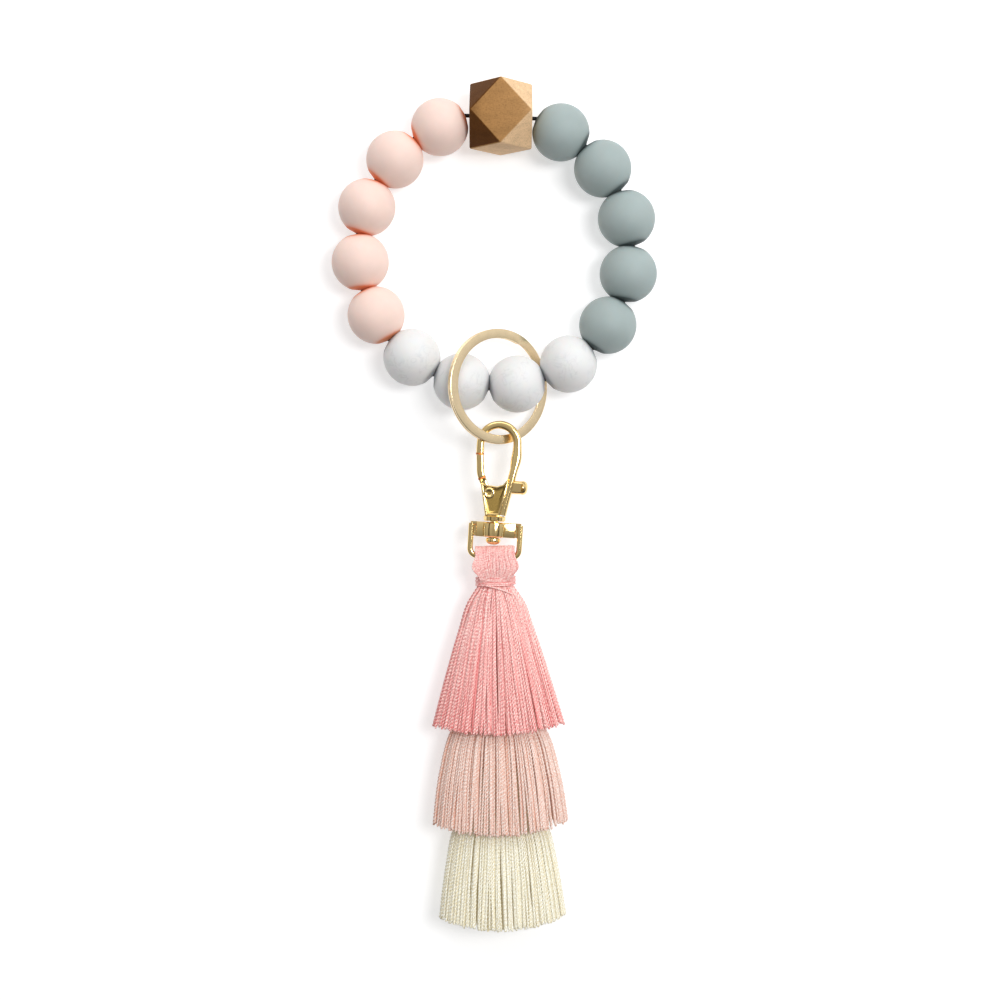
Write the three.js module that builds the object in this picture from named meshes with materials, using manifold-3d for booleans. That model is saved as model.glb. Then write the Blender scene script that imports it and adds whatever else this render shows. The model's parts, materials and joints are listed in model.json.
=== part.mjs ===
// A bracelet keychain: fourteen silicone beads and one faceted wooden bead on an elastic cord, a flat split
// ring round the cord, and a three-tier tassel that hangs from the ring on a swivel trigger clasp.
// It lies flat: X across the bracelet, Y from the tassel's hem towards the wooden bead, Z up from the table.
// Every piece is one closed mesh with its own name. Millimetres.
import * as THREE from "three";
import { mergeVertices } from "three/addons/utils/BufferGeometryUtils.js";
import { ConvexGeometry } from "three/addons/geometries/ConvexGeometry.js";
import Module from "manifold-3d";

const wasm = await Module();
wasm.setup();

// ---- driving dimensions ----
const FIT_GAP = 0.3; // left between pieces that touch
const HALF_TURN = Math.PI;
const FULL_TURN = 2 * Math.PI;
const DEGREE = Math.PI / 180;

const CORD_RADIUS = 0.5;
const BEAD_RADIUS = 7.5;
const BEAD_LENGTH = 13.8; // along the bore, where its neighbours press it
const BEAD_BORE_RADIUS = 1.1;
const BEAD_PITCH = 14.75; // of the cord, from one gap between beads to the next
const WOOD_ACROSS = 17; // between two opposite square facets
const WOOD_BORE_RADIUS = 1.8;
const WOOD_PITCH = 18.5;
const CORD_HEIGHT = 7.8; // of the cord above the table
const BRACELET_TURN = -2.5 * DEGREE; // the wooden bead sits a little clockwise of the top

const RING_RADIUS = 15; // outside
const BAND_WIDTH = 2.5;
const COIL_THICKNESS = 0.75;
const COIL_GAP = 0.1; // between the ring's two coils
const RING_CENTRE = new THREE.Vector3(1.05, -35.7, 9.65);
const RING_TILT = 31.5 * DEGREE; // its left edge is up

const HOOK_OUTER_RADIUS = 5.7;
const HOOK_INNER_RADIUS = 3.9;
const HOOK_THICKNESS = 2.1;
const BODY_THICKNESS = 3.6;
const SLOT_THICKNESS = 1.8; // in the body, for the lever
const LEVER_THICKNESS = 1;
const LEVER_OFFSET = -0.25; // from the middle of the slot, to leave room for the spring
const RIVET_RADIUS = 0.75;
const COLLAR_RADIUS = 2.9;
const POST_RADIUS = 1.1;
const FRAME_WIDTH = 14.2;
const FRAME_THICKNESS = 2.2;
const FRAME_WIRE = 1.5; // width of its arms and of the bar that holds the tassel
const CLASP_TURN = -3.5 * DEGREE;
const FRAME_SHIFT = 0.5; // of the frame to the right of the swivel post
const TASSEL_SHIFT = 0.75; // of the tassel to the right of the swivel post
const BAR_BELOW_RING = 31; // from the ring's band to the bar that holds the tassel

const TASSEL_HEIGHT = 8.9; // of its axis above the table
const TASSEL_LEAN = 1.2 * DEGREE;
const TIER_LENGTH = 38.4; // from a tier's neck to its hem
const NECK_BELOW_BAR = 7.8; // to the lower end of the top tier's neck
const NECK_RADIUS = 4;
const NECK_LENGTH = 3;
const HEAD_ABOVE_NECK = 5.4; // from a lower tier's neck to the top of its round head
const HEM_HALF_THICKNESS = 9.3; // before the table flattens it
const SKIRT_WALL = 1.6;
const HOLLOW_DEPTH = 24.5; // of the two upper skirts, up from the hem
const HEAD_WIDTH = 9.8; // of the threads folded over the frame's bar
const BAR_HOLE_RADIUS = 1.9; // left in them for the bar

// ---- materials ----
const finish = (color, roughness, metalness = 0) => () =>
  new THREE.MeshStandardMaterial({ color, roughness, metalness });
const pinkSilicone = finish(0xf6cdbd, 0.65);
const greySilicone = finish(0x9aaaa7, 0.65);
const marbleSilicone = finish(0xf1f1ef, 0.6);
const wood = finish(0xa9794b, 0.6);
const elastic = finish(0x17171a, 0.7);
const gold = finish(0xe3c58b, 0.22, 1);
const springSteel = finish(0xc9c9cc, 0.35, 1);
const roseThread = finish(0xe8a09b, 0.8);
const blushThread = finish(0xf3cdc2, 0.8);
const creamThread = finish(0xf5ebcf, 0.8);

// ---- helpers ----
// A closed geometry with only its positions, its shared corners merged.
function closed(geometry) {
  const bare = geometry.clone();
  for (const name of Object.keys(bare.attributes)) {
    if (name !== "position") bare.deleteAttribute(name);
  }
  return mergeVertices(bare, 1e-4);
}

function solid(geometry) {
  const merged = closed(geometry);
  return new wasm.Manifold(
    new wasm.Mesh({
      numProp: 3,
      vertProperties: merged.attributes.position.array,
      triVerts: new Uint32Array(merged.index.array),
    }),
  );
}

// The first geometry joined with `added`, with `removed` cut away afterwards.
function carve(base, added, removed) {
  let body = solid(base);
  for (const piece of added) body = body.add(solid(piece));
  for (const piece of removed) body = body.subtract(solid(piece));
  const mesh = body.getMesh();
  const positions = new THREE.BufferAttribute(mesh.vertProperties, 3);
  return new THREE.BufferGeometry()
    .setAttribute("position", positions)
    .setIndex(new THREE.BufferAttribute(mesh.triVerts, 1));
}

function named(name, geometry, material) {
  const mesh = new THREE.Mesh(geometry, material());
  mesh.name = name;
  return mesh;
}

function box(low, high) {
  const size = high.map((value, i) => value - low[i]);
  const centre = high.map((value, i) => (value + low[i]) / 2);
  return new THREE.BoxGeometry(...size).translate(...centre);
}

function alongX(radius, length, sides, x = 0) {
  return new THREE.CylinderGeometry(radius, radius, length, sides).rotateZ(HALF_TURN / 2).translate(x, 0, 0);
}

function alongZ(radius, length, sides, x, y, z = 0) {
  return new THREE.CylinderGeometry(radius, radius, length, sides).rotateX(HALF_TURN / 2).translate(x, y, z);
}

// A plate of the outline, centred on z = 0, with its edges bevelled.
function plate(shape, thickness, bevel = 0, curveSegments = 10) {
  const options = {
    depth: thickness - 2 * bevel,
    bevelEnabled: bevel > 0,
    bevelThickness: bevel,
    bevelSize: bevel,
    bevelOffset: -bevel,
    bevelSegments: 2,
    curveSegments,
  };
  return new THREE.ExtrudeGeometry(shape, options).translate(0, 0, bevel - thickness / 2);
}

function outline(points) {
  return new THREE.Shape(points.map(([x, y]) => new THREE.Vector2(x, y)));
}

// ---- the bracelet ----
// The cord's gaps between beads lie on a circle. Its radius is the one for which the cord's links close.
function gapCircleRadius(roundBeads) {
  let low = (roundBeads * BEAD_PITCH) / FULL_TURN;
  let high = 2 * low;
  for (let i = 0; i < 60; i++) {
    const radius = (low + high) / 2;
    const around = roundBeads * Math.asin(BEAD_PITCH / 2 / radius) + Math.asin(WOOD_PITCH / 2 / radius);
    if (around > HALF_TURN) low = radius;
    else high = radius;
  }
  return low;
}

function roundBead() {
  const steps = 9;
  const reach = Math.acos(BEAD_BORE_RADIUS / BEAD_RADIUS);
  const profile = [];
  for (let i = 0; i <= steps; i++) {
    const angle = reach * ((2 * i) / steps - 1);
    profile.push(new THREE.Vector2(BEAD_RADIUS * Math.cos(angle), (BEAD_LENGTH / 2) * Math.sin(angle)));
  }
  profile.push(profile[0].clone());
  return new THREE.LatheGeometry(profile, 20).rotateZ(HALF_TURN / 2);
}

// A cube with its corners cut off to the middles of its edges, bored from one square facet to the other.
function woodenBead() {
  const half = WOOD_ACROSS / 2;
  const corners = [];
  for (const a of [-half, half]) {
    for (const b of [-half, half]) {
      corners.push(new THREE.Vector3(a, b, 0));
      corners.push(new THREE.Vector3(a, 0, b));
      corners.push(new THREE.Vector3(0, a, b));
    }
  }
  return carve(new ConvexGeometry(corners), [], [alongX(WOOD_BORE_RADIUS, 2 * WOOD_ACROSS, 16)]);
}

function cordSegment(length) {
  return alongX(CORD_RADIUS, length, 8);
}

// The cord's two ends are tied in the wooden bead's bore, where the knot is hidden.
function knottedCordSegment(length) {
  const knotRadius = 0.85;
  const knotHalf = 1.6;
  const profile = [
    [0, -length / 2],
    [CORD_RADIUS, -length / 2],
    [CORD_RADIUS, -knotHalf],
    [knotRadius, -knotHalf / 2],
    [knotRadius, knotHalf / 2],
    [CORD_RADIUS, knotHalf],
    [CORD_RADIUS, length / 2],
    [0, length / 2],
  ];
  const points = profile.map(([radius, along]) => new THREE.Vector2(radius, along));
  return new THREE.LatheGeometry(points, 10).rotateZ(HALF_TURN / 2);
}

// Beads in order, clockwise from the wooden bead at the top.
const BEADS = [["wood", wood]];
for (let i = 1; i <= 5; i++) BEADS.push(["grey_" + i, greySilicone]);
for (let i = 1; i <= 4; i++) BEADS.push(["marble_" + i, marbleSilicone]);
for (let i = 5; i >= 1; i--) BEADS.push(["pink_" + i, pinkSilicone]);

function bracelet() {
  const group = new THREE.Group();
  const radius = gapCircleRadius(BEADS.length - 1);
  const woodHalfAngle = Math.asin(WOOD_PITCH / 2 / radius);
  const beadHalfAngle = Math.asin(BEAD_PITCH / 2 / radius);
  BEADS.forEach(([name, material], i) => {
    const isWood = i === 0;
    const pitch = isWood ? WOOD_PITCH : BEAD_PITCH;
    const clockwise = isWood ? 0 : woodHalfAngle + (2 * i - 1) * beadHalfAngle;
    const link = new THREE.Group();
    link.rotation.z = -clockwise;
    const arm = Math.sqrt(radius ** 2 - (pitch / 2) ** 2);
    link.position.set(arm * Math.sin(clockwise), arm * Math.cos(clockwise), 0);
    const bead = named("bead_" + name, isWood ? woodenBead() : roundBead(), material);
    if (isWood) bead.position.z = WOOD_ACROSS / 2 - CORD_HEIGHT;
    const length = pitch - 2 * FIT_GAP;
    const cord = isWood ? knottedCordSegment(length) : cordSegment(length);
    link.add(bead, named("cord_" + name, cord, elastic));
    group.add(link);
  });
  group.position.z = CORD_HEIGHT;
  group.rotation.z = BRACELET_TURN;
  return group;
}

// ---- the split ring ----
// One flat strip wound round more than one and a half times. It starts on the front at the bottom, runs
// clockwise to one o'clock, steps to the back there and runs on to twelve o'clock.
class SplitRingPath extends THREE.Curve {
  getPoint(t, target = new THREE.Vector3()) {
    const start = -88 * DEGREE;
    const wound = 570 * DEGREE;
    const stepStart = 205 * DEGREE;
    const stepLength = 45 * DEGREE;
    const turned = t * wound;
    const stepped = THREE.MathUtils.smoothstep(turned, stepStart, stepStart + stepLength);
    const angle = start - turned;
    const radius = RING_RADIUS - BAND_WIDTH / 2;
    const layer = (COIL_THICKNESS + COIL_GAP) * (0.5 - stepped);
    return target.set(radius * Math.cos(angle), radius * Math.sin(angle), layer);
  }
}

function splitRing() {
  const halfThick = COIL_THICKNESS / 2;
  const halfWide = BAND_WIDTH / 2;
  const section = outline([
    [-halfThick, -halfWide],
    [halfThick, -halfWide],
    [halfThick, halfWide],
    [-halfThick, halfWide],
  ]);
  const strip = new THREE.ExtrudeGeometry(section, { steps: 90, extrudePath: new SplitRingPath() });
  const mesh = named("split_ring", strip, gold);
  mesh.position.copy(RING_CENTRE);
  mesh.rotation.y = RING_TILT;
  return mesh;
}

// ---- the clasp ----
// Its own frame has the ring's band at the origin, the hook's eye round it, and the tassel's bar down Y.
const HOOK_CENTRE_Y = -1.5;
const HOOK_TIP_Y = -4.6;
const RIVET_AT = [-1.75, -14.6];
const BODY_TOP_Y = -12;
const COLLAR_TOP_Y = -20.4;
const COLLAR_BOTTOM_Y = -21.8;
const CROSSBAR_TOP_Y = COLLAR_BOTTOM_Y - FIT_GAP;
const CROSSBAR_BOTTOM_Y = CROSSBAR_TOP_Y - 3.9;

// The hook: a spine up the right side and an arc over the ring, ending in a tip on the left.
function hookShape() {
  const shape = new THREE.Shape();
  shape.moveTo(0.9, COLLAR_TOP_Y - 0.1);
  shape.lineTo(2.8, COLLAR_TOP_Y - 0.1);
  shape.lineTo(4.5, BODY_TOP_Y);
  shape.quadraticCurveTo(6, -6, HOOK_OUTER_RADIUS, HOOK_CENTRE_Y);
  shape.absarc(0, HOOK_CENTRE_Y, HOOK_OUTER_RADIUS, 0, HALF_TURN, false);
  shape.lineTo(-HOOK_OUTER_RADIUS, HOOK_TIP_Y);
  shape.lineTo(-HOOK_INNER_RADIUS, HOOK_TIP_Y);
  shape.lineTo(-HOOK_INNER_RADIUS, HOOK_CENTRE_Y);
  shape.absarc(0, HOOK_CENTRE_Y, HOOK_INNER_RADIUS, HALF_TURN, 0, true);
  shape.quadraticCurveTo(3.6, -6, 2.2, -9.8);
  shape.lineTo(0.9, BODY_TOP_Y - 0.6);
  return shape;
}

// The body's two cheeks, which taper to the collar and are hollowed at the top like the eye.
function bodyShape() {
  const shape = new THREE.Shape();
  shape.moveTo(-2.7, COLLAR_TOP_Y - 0.1);
  shape.lineTo(2.8, COLLAR_TOP_Y - 0.1);
  shape.lineTo(4.5, BODY_TOP_Y);
  shape.lineTo(2.9, BODY_TOP_Y + 3);
  shape.quadraticCurveTo(1.6, BODY_TOP_Y - 0.9, -0.6, BODY_TOP_Y - 0.7);
  shape.lineTo(-4.3, BODY_TOP_Y);
  return shape;
}

function hookBody() {
  const collarHeight = COLLAR_TOP_Y - COLLAR_BOTTOM_Y;
  const collarMiddle = (COLLAR_TOP_Y + COLLAR_BOTTOM_Y) / 2;
  const collar = new THREE.CylinderGeometry(COLLAR_RADIUS, COLLAR_RADIUS, collarHeight, 24);
  collar.translate(0, collarMiddle, 0);
  const leverSlot = box([-9, -17.4, -SLOT_THICKNESS / 2], [9, -10.4, SLOT_THICKNESS / 2]);
  const postRadius = POST_RADIUS + FIT_GAP;
  const postHole = new THREE.CylinderGeometry(postRadius, postRadius, 5, 12).translate(0, COLLAR_BOTTOM_Y, 0);
  const rivetHole = alongZ(RIVET_RADIUS + 0.2, 2 * BODY_THICKNESS, 12, ...RIVET_AT);
  const cheeks = plate(bodyShape(), BODY_THICKNESS, 0.3, 5);
  const wire = plate(hookShape(), HOOK_THICKNESS, 0.5, 12);
  return carve(wire, [cheeks, collar], [leverSlot, postHole, rivetHole]);
}

// The gate closes the eye. It is one piece with the thumb tab that sticks out on the other side.
function gateLever() {
  const [hubX, hubY] = RIVET_AT;
  const gate = outline([
    [-5.7, HOOK_TIP_Y - FIT_GAP - 0.3],
    [-5.3, -9.5],
    [-4.4, -12.4],
    [hubX - 1.8, hubY - 0.6],
    [hubX + 0.2, hubY + 1.7],
    [-2.6, -12.2],
    [-3.5, -9.2],
    [-3.8, HOOK_TIP_Y - FIT_GAP],
  ]);
  const arm = outline([
    [hubX, hubY - 1.2],
    [5.4, -13.6],
    [5.4, -11.9],
    [hubX, hubY + 1.2],
  ]);
  const tab = new THREE.CylinderGeometry(1.8, 1.8, 2.4, 16).rotateZ(HALF_TURN / 2).translate(6.2, -12.75, 0);
  const hub = alongZ(1.8, LEVER_THICKNESS, 16, hubX, hubY, LEVER_OFFSET);
  const rivetHole = alongZ(RIVET_RADIUS + 0.2, 2 * BODY_THICKNESS, 12, hubX, hubY);
  const plates = [gate, arm].map((shape) => plate(shape, LEVER_THICKNESS).translate(0, 0, LEVER_OFFSET));
  return carve(plates[0], [plates[1], tab, hub], [rivetHole]);
}

// A tube set through both cheeks, with a rolled head on each face.
function leverRivet() {
  const shankHalf = BODY_THICKNESS / 2 + 0.1;
  const top = shankHalf + 0.4;
  const bore = 0.35;
  const half = [
    [RIVET_RADIUS, shankHalf],
    [1.4, shankHalf],
    [1.4, top - 0.15],
    [1.1, top],
    [bore, top],
  ];
  const mirrored = half.map(([radius, z]) => [radius, -z]).reverse();
  const profile = [...mirrored, ...half, mirrored[0]];
  const points = profile.map(([radius, z]) => new THREE.Vector2(radius, z));
  return new THREE.LatheGeometry(points, 16).rotateX(HALF_TURN / 2).translate(...RIVET_AT, 0);
}

// The flat coil spring round the rivet, between the lever and the front cheek. It pushes the gate shut.
class SpringPath extends THREE.Curve {
  getPoint(t, target = new THREE.Vector3()) {
    const angle = 1.7 * FULL_TURN * t;
    const radius = 1.15 + 0.6 * t;
    const [x, y] = RIVET_AT;
    return target.set(x + radius * Math.cos(angle), y + radius * Math.sin(angle), 0.58);
  }
}

function leverSpring() {
  const wire = new THREE.Shape().absarc(0, 0, 0.12, 0, FULL_TURN, false);
  return new THREE.ExtrudeGeometry(wire, { steps: 24, curveSegments: 3, extrudePath: new SpringPath() });
}

function swivelPost() {
  const headTop = CROSSBAR_BOTTOM_Y - 0.2;
  const profile = [
    [0, headTop - 1.3],
    [1.4, headTop - 1.3],
    [1.95, headTop - 0.9],
    [1.95, headTop],
    [POST_RADIUS, headTop],
    [POST_RADIUS, COLLAR_BOTTOM_Y + 2.2],
    [0, COLLAR_BOTTOM_Y + 2.2],
  ];
  return new THREE.LatheGeometry(profile.map(([radius, y]) => new THREE.Vector2(radius, y)), 16);
}

// The frame: a crossbar with a boss for the post, two arms, and the bar that the tassel hangs from.
function tasselFrame() {
  const halfWide = FRAME_WIDTH / 2;
  const bottom = -BAR_BELOW_RING - FRAME_WIRE / 2;
  const corner = 2.6;
  const topCorner = 0.8;
  const rim = new THREE.Shape();
  rim.moveTo(-halfWide + corner, bottom);
  rim.lineTo(halfWide - corner, bottom);
  rim.absarc(halfWide - corner, bottom + corner, corner, -HALF_TURN / 2, 0, false);
  rim.lineTo(halfWide, CROSSBAR_TOP_Y - topCorner);
  rim.absarc(halfWide - topCorner, CROSSBAR_TOP_Y - topCorner, topCorner, 0, HALF_TURN / 2, false);
  rim.lineTo(-halfWide + topCorner, CROSSBAR_TOP_Y);
  rim.absarc(-halfWide + topCorner, CROSSBAR_TOP_Y - topCorner, topCorner, HALF_TURN / 2, HALF_TURN, false);
  rim.lineTo(-halfWide, bottom + corner);
  rim.absarc(-halfWide + corner, bottom + corner, corner, HALF_TURN, 1.5 * HALF_TURN, false);
  const innerHalf = halfWide - FRAME_WIRE;
  const innerCorner = corner - FRAME_WIRE;
  const innerBottom = bottom + FRAME_WIRE;
  const cornerX = innerHalf - innerCorner;
  const cornerY = innerBottom + innerCorner;
  const opening = new THREE.Path();
  opening.moveTo(-innerHalf, CROSSBAR_BOTTOM_Y);
  opening.lineTo(-innerHalf, cornerY);
  opening.absarc(-cornerX, cornerY, innerCorner, HALF_TURN, 1.5 * HALF_TURN, false);
  opening.lineTo(cornerX, innerBottom);
  opening.absarc(cornerX, cornerY, innerCorner, -HALF_TURN / 2, 0, false);
  opening.lineTo(innerHalf, CROSSBAR_BOTTOM_Y);
  rim.holes.push(opening);
  const middle = (CROSSBAR_TOP_Y + CROSSBAR_BOTTOM_Y) / 2;
  const height = CROSSBAR_TOP_Y - CROSSBAR_BOTTOM_Y;
  const boss = new THREE.CylinderGeometry(3.1, 3.1, height, 20).scale(1, 1, 0.85).translate(0, middle, 0);
  const boreRadius = POST_RADIUS + FIT_GAP;
  const bore = new THREE.CylinderGeometry(boreRadius, boreRadius, 3 * height, 12).translate(0, middle, 0);
  const slots = [-1, 1].map((side) => {
    const x = FRAME_SHIFT + side * (innerHalf - 0.1);
    return box([x - 0.35, CROSSBAR_BOTTOM_Y - 1, -3], [x + 0.35, CROSSBAR_BOTTOM_Y + 2.6, 3]);
  });
  const frame = plate(rim, FRAME_THICKNESS, 0, 5).translate(FRAME_SHIFT, 0, 0);
  return carve(frame, [boss], [bore, ...slots]);
}

// The clasp's height above the table falls from the ring to the tassel's bar.
const HOOK_HEIGHT = 9.2;
const HOOK_X = 1.15;
const HOOK_RISE = 0.6; // of the eye above the ring's band, so that the arc clears the band's curve
const CLASP_DROP = HOOK_HEIGHT - TASSEL_HEIGHT;
const RING_BAND_Y = RING_CENTRE.y - RING_RADIUS + BAND_WIDTH / 2;

function clasp() {
  const group = new THREE.Group();
  group.add(named("hook_body", hookBody(), gold));
  group.add(named("gate_lever", gateLever(), gold));
  group.add(named("lever_rivet", leverRivet(), gold));
  group.add(named("lever_spring", leverSpring(), springSteel));
  group.add(named("swivel_post", swivelPost(), gold));
  group.add(named("tassel_frame", tasselFrame(), gold));
  group.position.set(HOOK_X, RING_BAND_Y + HOOK_RISE, HOOK_HEIGHT);
  group.rotation.set(Math.asin(CLASP_DROP / BAR_BELOW_RING), 0, CLASP_TURN, "ZXY");
  return group;
}

// ---- the tassel ----
// Its own frame has the frame's bar at the origin and hangs down Y. Each tier is a bundle of threads tied at
// the neck. Its outline is given as [distance below the neck, half width].
const TIERS = [
  {
    name: "tier_1",
    below: 0,
    outline: [[0, 4.6], [3.5, 7.2], [11, 9.8], [22, 13.1], [TIER_LENGTH, 17.3]],
    thread: roseThread,
  },
  {
    name: "tier_2",
    below: 26.1,
    outline: [[0, 4.6], [4, 8.4], [12.3, 12.9], [22, 15.4], [TIER_LENGTH, 17.3]],
    thread: blushThread,
  },
  {
    name: "tier_3",
    below: 50.2,
    outline: [[0, 4.6], [4, 8.4], [12.8, 12.4], [22, 14.3], [TIER_LENGTH, 16.4]],
    thread: creamThread,
  },
];

// The tassel is flatter than it is wide: this is its thickness over its width at each distance below a neck.
function flatness(below, hemHalfWidth) {
  const { lerp, smoothstep } = THREE.MathUtils;
  const shoulder = lerp(0.6, 0.47, smoothstep(below, 0, 6));
  return lerp(shoulder, HEM_HALF_THICKNESS / hemHalfWidth, smoothstep(below, 10, TIER_LENGTH));
}

// Turns a profile of [half width, distance below the neck] round Y, and flattens it towards z = 0.
function flattenedLathe(profile, hemHalfWidth, sides = 28) {
  const points = profile.map(([radius, below]) => new THREE.Vector2(radius, -below));
  const lathe = new THREE.LatheGeometry(points, sides);
  const position = lathe.getAttribute("position");
  for (let i = 0; i < position.count; i++) {
    const below = -position.getY(i);
    position.setZ(i, position.getZ(i) * flatness(below, hemHalfWidth));
  }
  return lathe;
}

function skirtProfile(tier, hollow) {
  const points = tier.outline.map(([below, radius]) => new THREE.Vector2(below, radius));
  const curve = new THREE.SplineCurve(points);
  const outside = curve.getPoints(9).map((point) => [point.y, point.x]);
  if (!hollow) return [...outside, [0, TIER_LENGTH]];
  const ceiling = TIER_LENGTH - HOLLOW_DEPTH;
  const lower = outside.filter(([, below]) => below > ceiling + 2);
  const inside = lower.map(([radius, below]) => [radius - SKIRT_WALL, below]).reverse();
  const [topRadius] = inside[inside.length - 1];
  return [...outside, ...inside, [topRadius - 2.5, ceiling], [0, ceiling]];
}

// The threads that fold over the frame's bar, as a band with a hole for the bar.
function foldedHead() {
  const neckHalf = NECK_RADIUS * 0.6;
  const outer = 2.9;
  const end = -NECK_BELOW_BAR + NECK_LENGTH - 0.2;
  const shape = new THREE.Shape();
  shape.moveTo(-neckHalf, end);
  shape.lineTo(neckHalf, end);
  shape.lineTo(outer, 0);
  shape.absarc(0, 0, outer, 0, HALF_TURN, false);
  return plate(shape, HEAD_WIDTH, 0.4, 10).rotateY(HALF_TURN / 2);
}

function tierThreads(tier, i) {
  const hem = tier.outline[tier.outline.length - 1][1];
  const isTop = i === 0;
  const isLast = i === TIERS.length - 1;
  const roundHead = [[0, -HEAD_ABOVE_NECK], [3.2, -HEAD_ABOVE_NECK + 0.4], [4.4, -HEAD_ABOVE_NECK + 1.4]];
  const neck = [[NECK_RADIUS, -NECK_LENGTH], [NECK_RADIUS, -0.1]];
  const top = isTop ? [[0, -NECK_LENGTH], ...neck] : [...roundHead, ...neck];
  const bundle = flattenedLathe([...top, ...skirtProfile(tier, !isLast)].reverse(), hem);
  const table = box([-40, -60, -30], [40, 20, -TASSEL_HEIGHT]);
  if (!isTop) return carve(bundle, [], [table]);
  const barHole = alongX(BAR_HOLE_RADIUS, 2 * HEAD_WIDTH, 20).translate(0, NECK_BELOW_BAR, 0);
  return carve(bundle, [foldedHead().translate(0, NECK_BELOW_BAR, 0)], [table, barHole]);
}

function tierWrap() {
  const inner = NECK_RADIUS + FIT_GAP;
  const outer = 5.2;
  const top = -NECK_LENGTH + 0.5;
  const bottom = -0.3;
  const profile = [[inner, top], [inner, bottom], [outer - 0.3, bottom], [outer, bottom - 0.4],
    [outer, top + 0.4], [outer - 0.3, top], [inner, top]];
  return flattenedLathe(profile, outer, 24);
}

// The core thread that a lower tier hangs by, inside the skirt above it.
function tierHanger() {
  const length = 3.2;
  const middle = HEAD_ABOVE_NECK + FIT_GAP + length / 2;
  return new THREE.CylinderGeometry(0.8, 0.8, length, 10).translate(0, middle, 0);
}

function tassel() {
  const group = new THREE.Group();
  TIERS.forEach((tier, i) => {
    const hung = new THREE.Group();
    hung.position.y = -NECK_BELOW_BAR - tier.below;
    hung.add(named(tier.name + "_threads", tierThreads(tier, i), tier.thread));
    hung.add(named(tier.name + "_wrap", tierWrap(), tier.thread));
    if (i > 0) hung.add(named(tier.name + "_hanger", tierHanger(), tier.thread));
    group.add(hung);
  });
  group.rotation.z = TASSEL_LEAN;
  return group;
}

// ---- the assembly ----
const keychain = new THREE.Group();
const claspGroup = clasp();
const tasselGroup = tassel();
keychain.add(bracelet(), splitRing(), claspGroup, tasselGroup);
claspGroup.updateMatrixWorld(true);
tasselGroup.position.copy(claspGroup.localToWorld(new THREE.Vector3(TASSEL_SHIFT, -BAR_BELOW_RING, 0)));

// The origin is under the middle of the whole keychain, on the table.
keychain.updateMatrixWorld(true);
const extent = new THREE.Box3().setFromObject(keychain, true);
const middle = extent.getCenter(new THREE.Vector3());
keychain.position.set(-middle.x, -middle.y, -extent.min.z);

export default keychain;
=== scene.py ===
import json
import math

import bmesh
import bpy
import numpy as np
from mathutils import Matrix, Vector


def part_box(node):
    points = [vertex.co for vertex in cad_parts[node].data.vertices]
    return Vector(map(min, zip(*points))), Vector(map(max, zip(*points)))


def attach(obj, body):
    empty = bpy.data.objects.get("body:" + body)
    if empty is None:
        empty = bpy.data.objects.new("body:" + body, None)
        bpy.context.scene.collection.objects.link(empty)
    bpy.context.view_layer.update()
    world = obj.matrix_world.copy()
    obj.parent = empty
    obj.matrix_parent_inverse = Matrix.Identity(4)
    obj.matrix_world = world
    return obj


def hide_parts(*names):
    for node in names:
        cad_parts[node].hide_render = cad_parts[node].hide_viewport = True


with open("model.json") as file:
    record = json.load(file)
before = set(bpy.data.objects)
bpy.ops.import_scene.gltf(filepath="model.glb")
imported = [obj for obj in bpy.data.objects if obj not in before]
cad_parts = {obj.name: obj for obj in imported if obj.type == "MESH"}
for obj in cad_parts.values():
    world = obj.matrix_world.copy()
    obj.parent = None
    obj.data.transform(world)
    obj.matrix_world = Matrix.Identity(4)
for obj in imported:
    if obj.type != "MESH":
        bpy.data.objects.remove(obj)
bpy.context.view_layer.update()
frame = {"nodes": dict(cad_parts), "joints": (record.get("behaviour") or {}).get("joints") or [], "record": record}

# The looks of a beaded wristlet keychain. Places come from the CAD frame's joints and boxes.
# Shapes are made in millimetres, in the frame of the bead, ring, clasp or tassel that they belong to.
MM = 0.001
FULL_TURN = 2 * math.pi
UP = Vector((0, 0, 1))
JOINTS = {joint["name"]: joint for joint in frame["joints"]}
BODIES = {node: body for body, nodes in frame["record"]["behaviour"]["bodies"].items() for node in nodes}


def joint_place(name):
    return Vector(JOINTS[name]["pos_m"])


def joint_axis(name):
    return Vector(JOINTS[name]["axis"]).normalized()


def axes_matrix(origin, x_axis, y_axis):
    """The frame with its origin there and its X and Y that way, from millimetres to metres."""
    z_axis = x_axis.cross(y_axis).normalized()
    matrix = Matrix((x_axis, z_axis.cross(x_axis), z_axis)).transposed().to_4x4() @ Matrix.Scale(MM, 4)
    matrix.translation = origin
    return matrix


# ---- camera, light and floor ----
VIEW_WIDTH = 0.2611  # metres across the picture, at the height of the cord
CAMERA_ABOVE_CORD = 0.45
CORD_HEIGHT = 0.0078
CAMERA_OFFSET = Vector((0.0015, 0.0013))  # of the picture's middle from the origin
SENSOR_WIDTH = 36
WORLD_STRENGTH = 0.61
# The studio's brightness along each axis: where the axis starts and ends, and stops of (share, brightness).
STUDIO_WALLS = {
    "Z": (0, 1, ((0.02, 0.25), (0.12, 0.8), (0.36, 1.25), (0.66, 1.05), (0.71, 0.12), (0.78, 0.12),
                 (0.83, 0.9), (0.93, 0.95), (1.0, 0.8))),
    "X": (-1, 1, ((0.05, 0.75), (0.30, 1.05), (0.60, 0.9), (0.85, 0.85), (0.93, 1.05))),
    "Y": (-1, 1, ((0.12, 0.15), (0.42, 0.66), (0.72, 1.36))),
}
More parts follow.
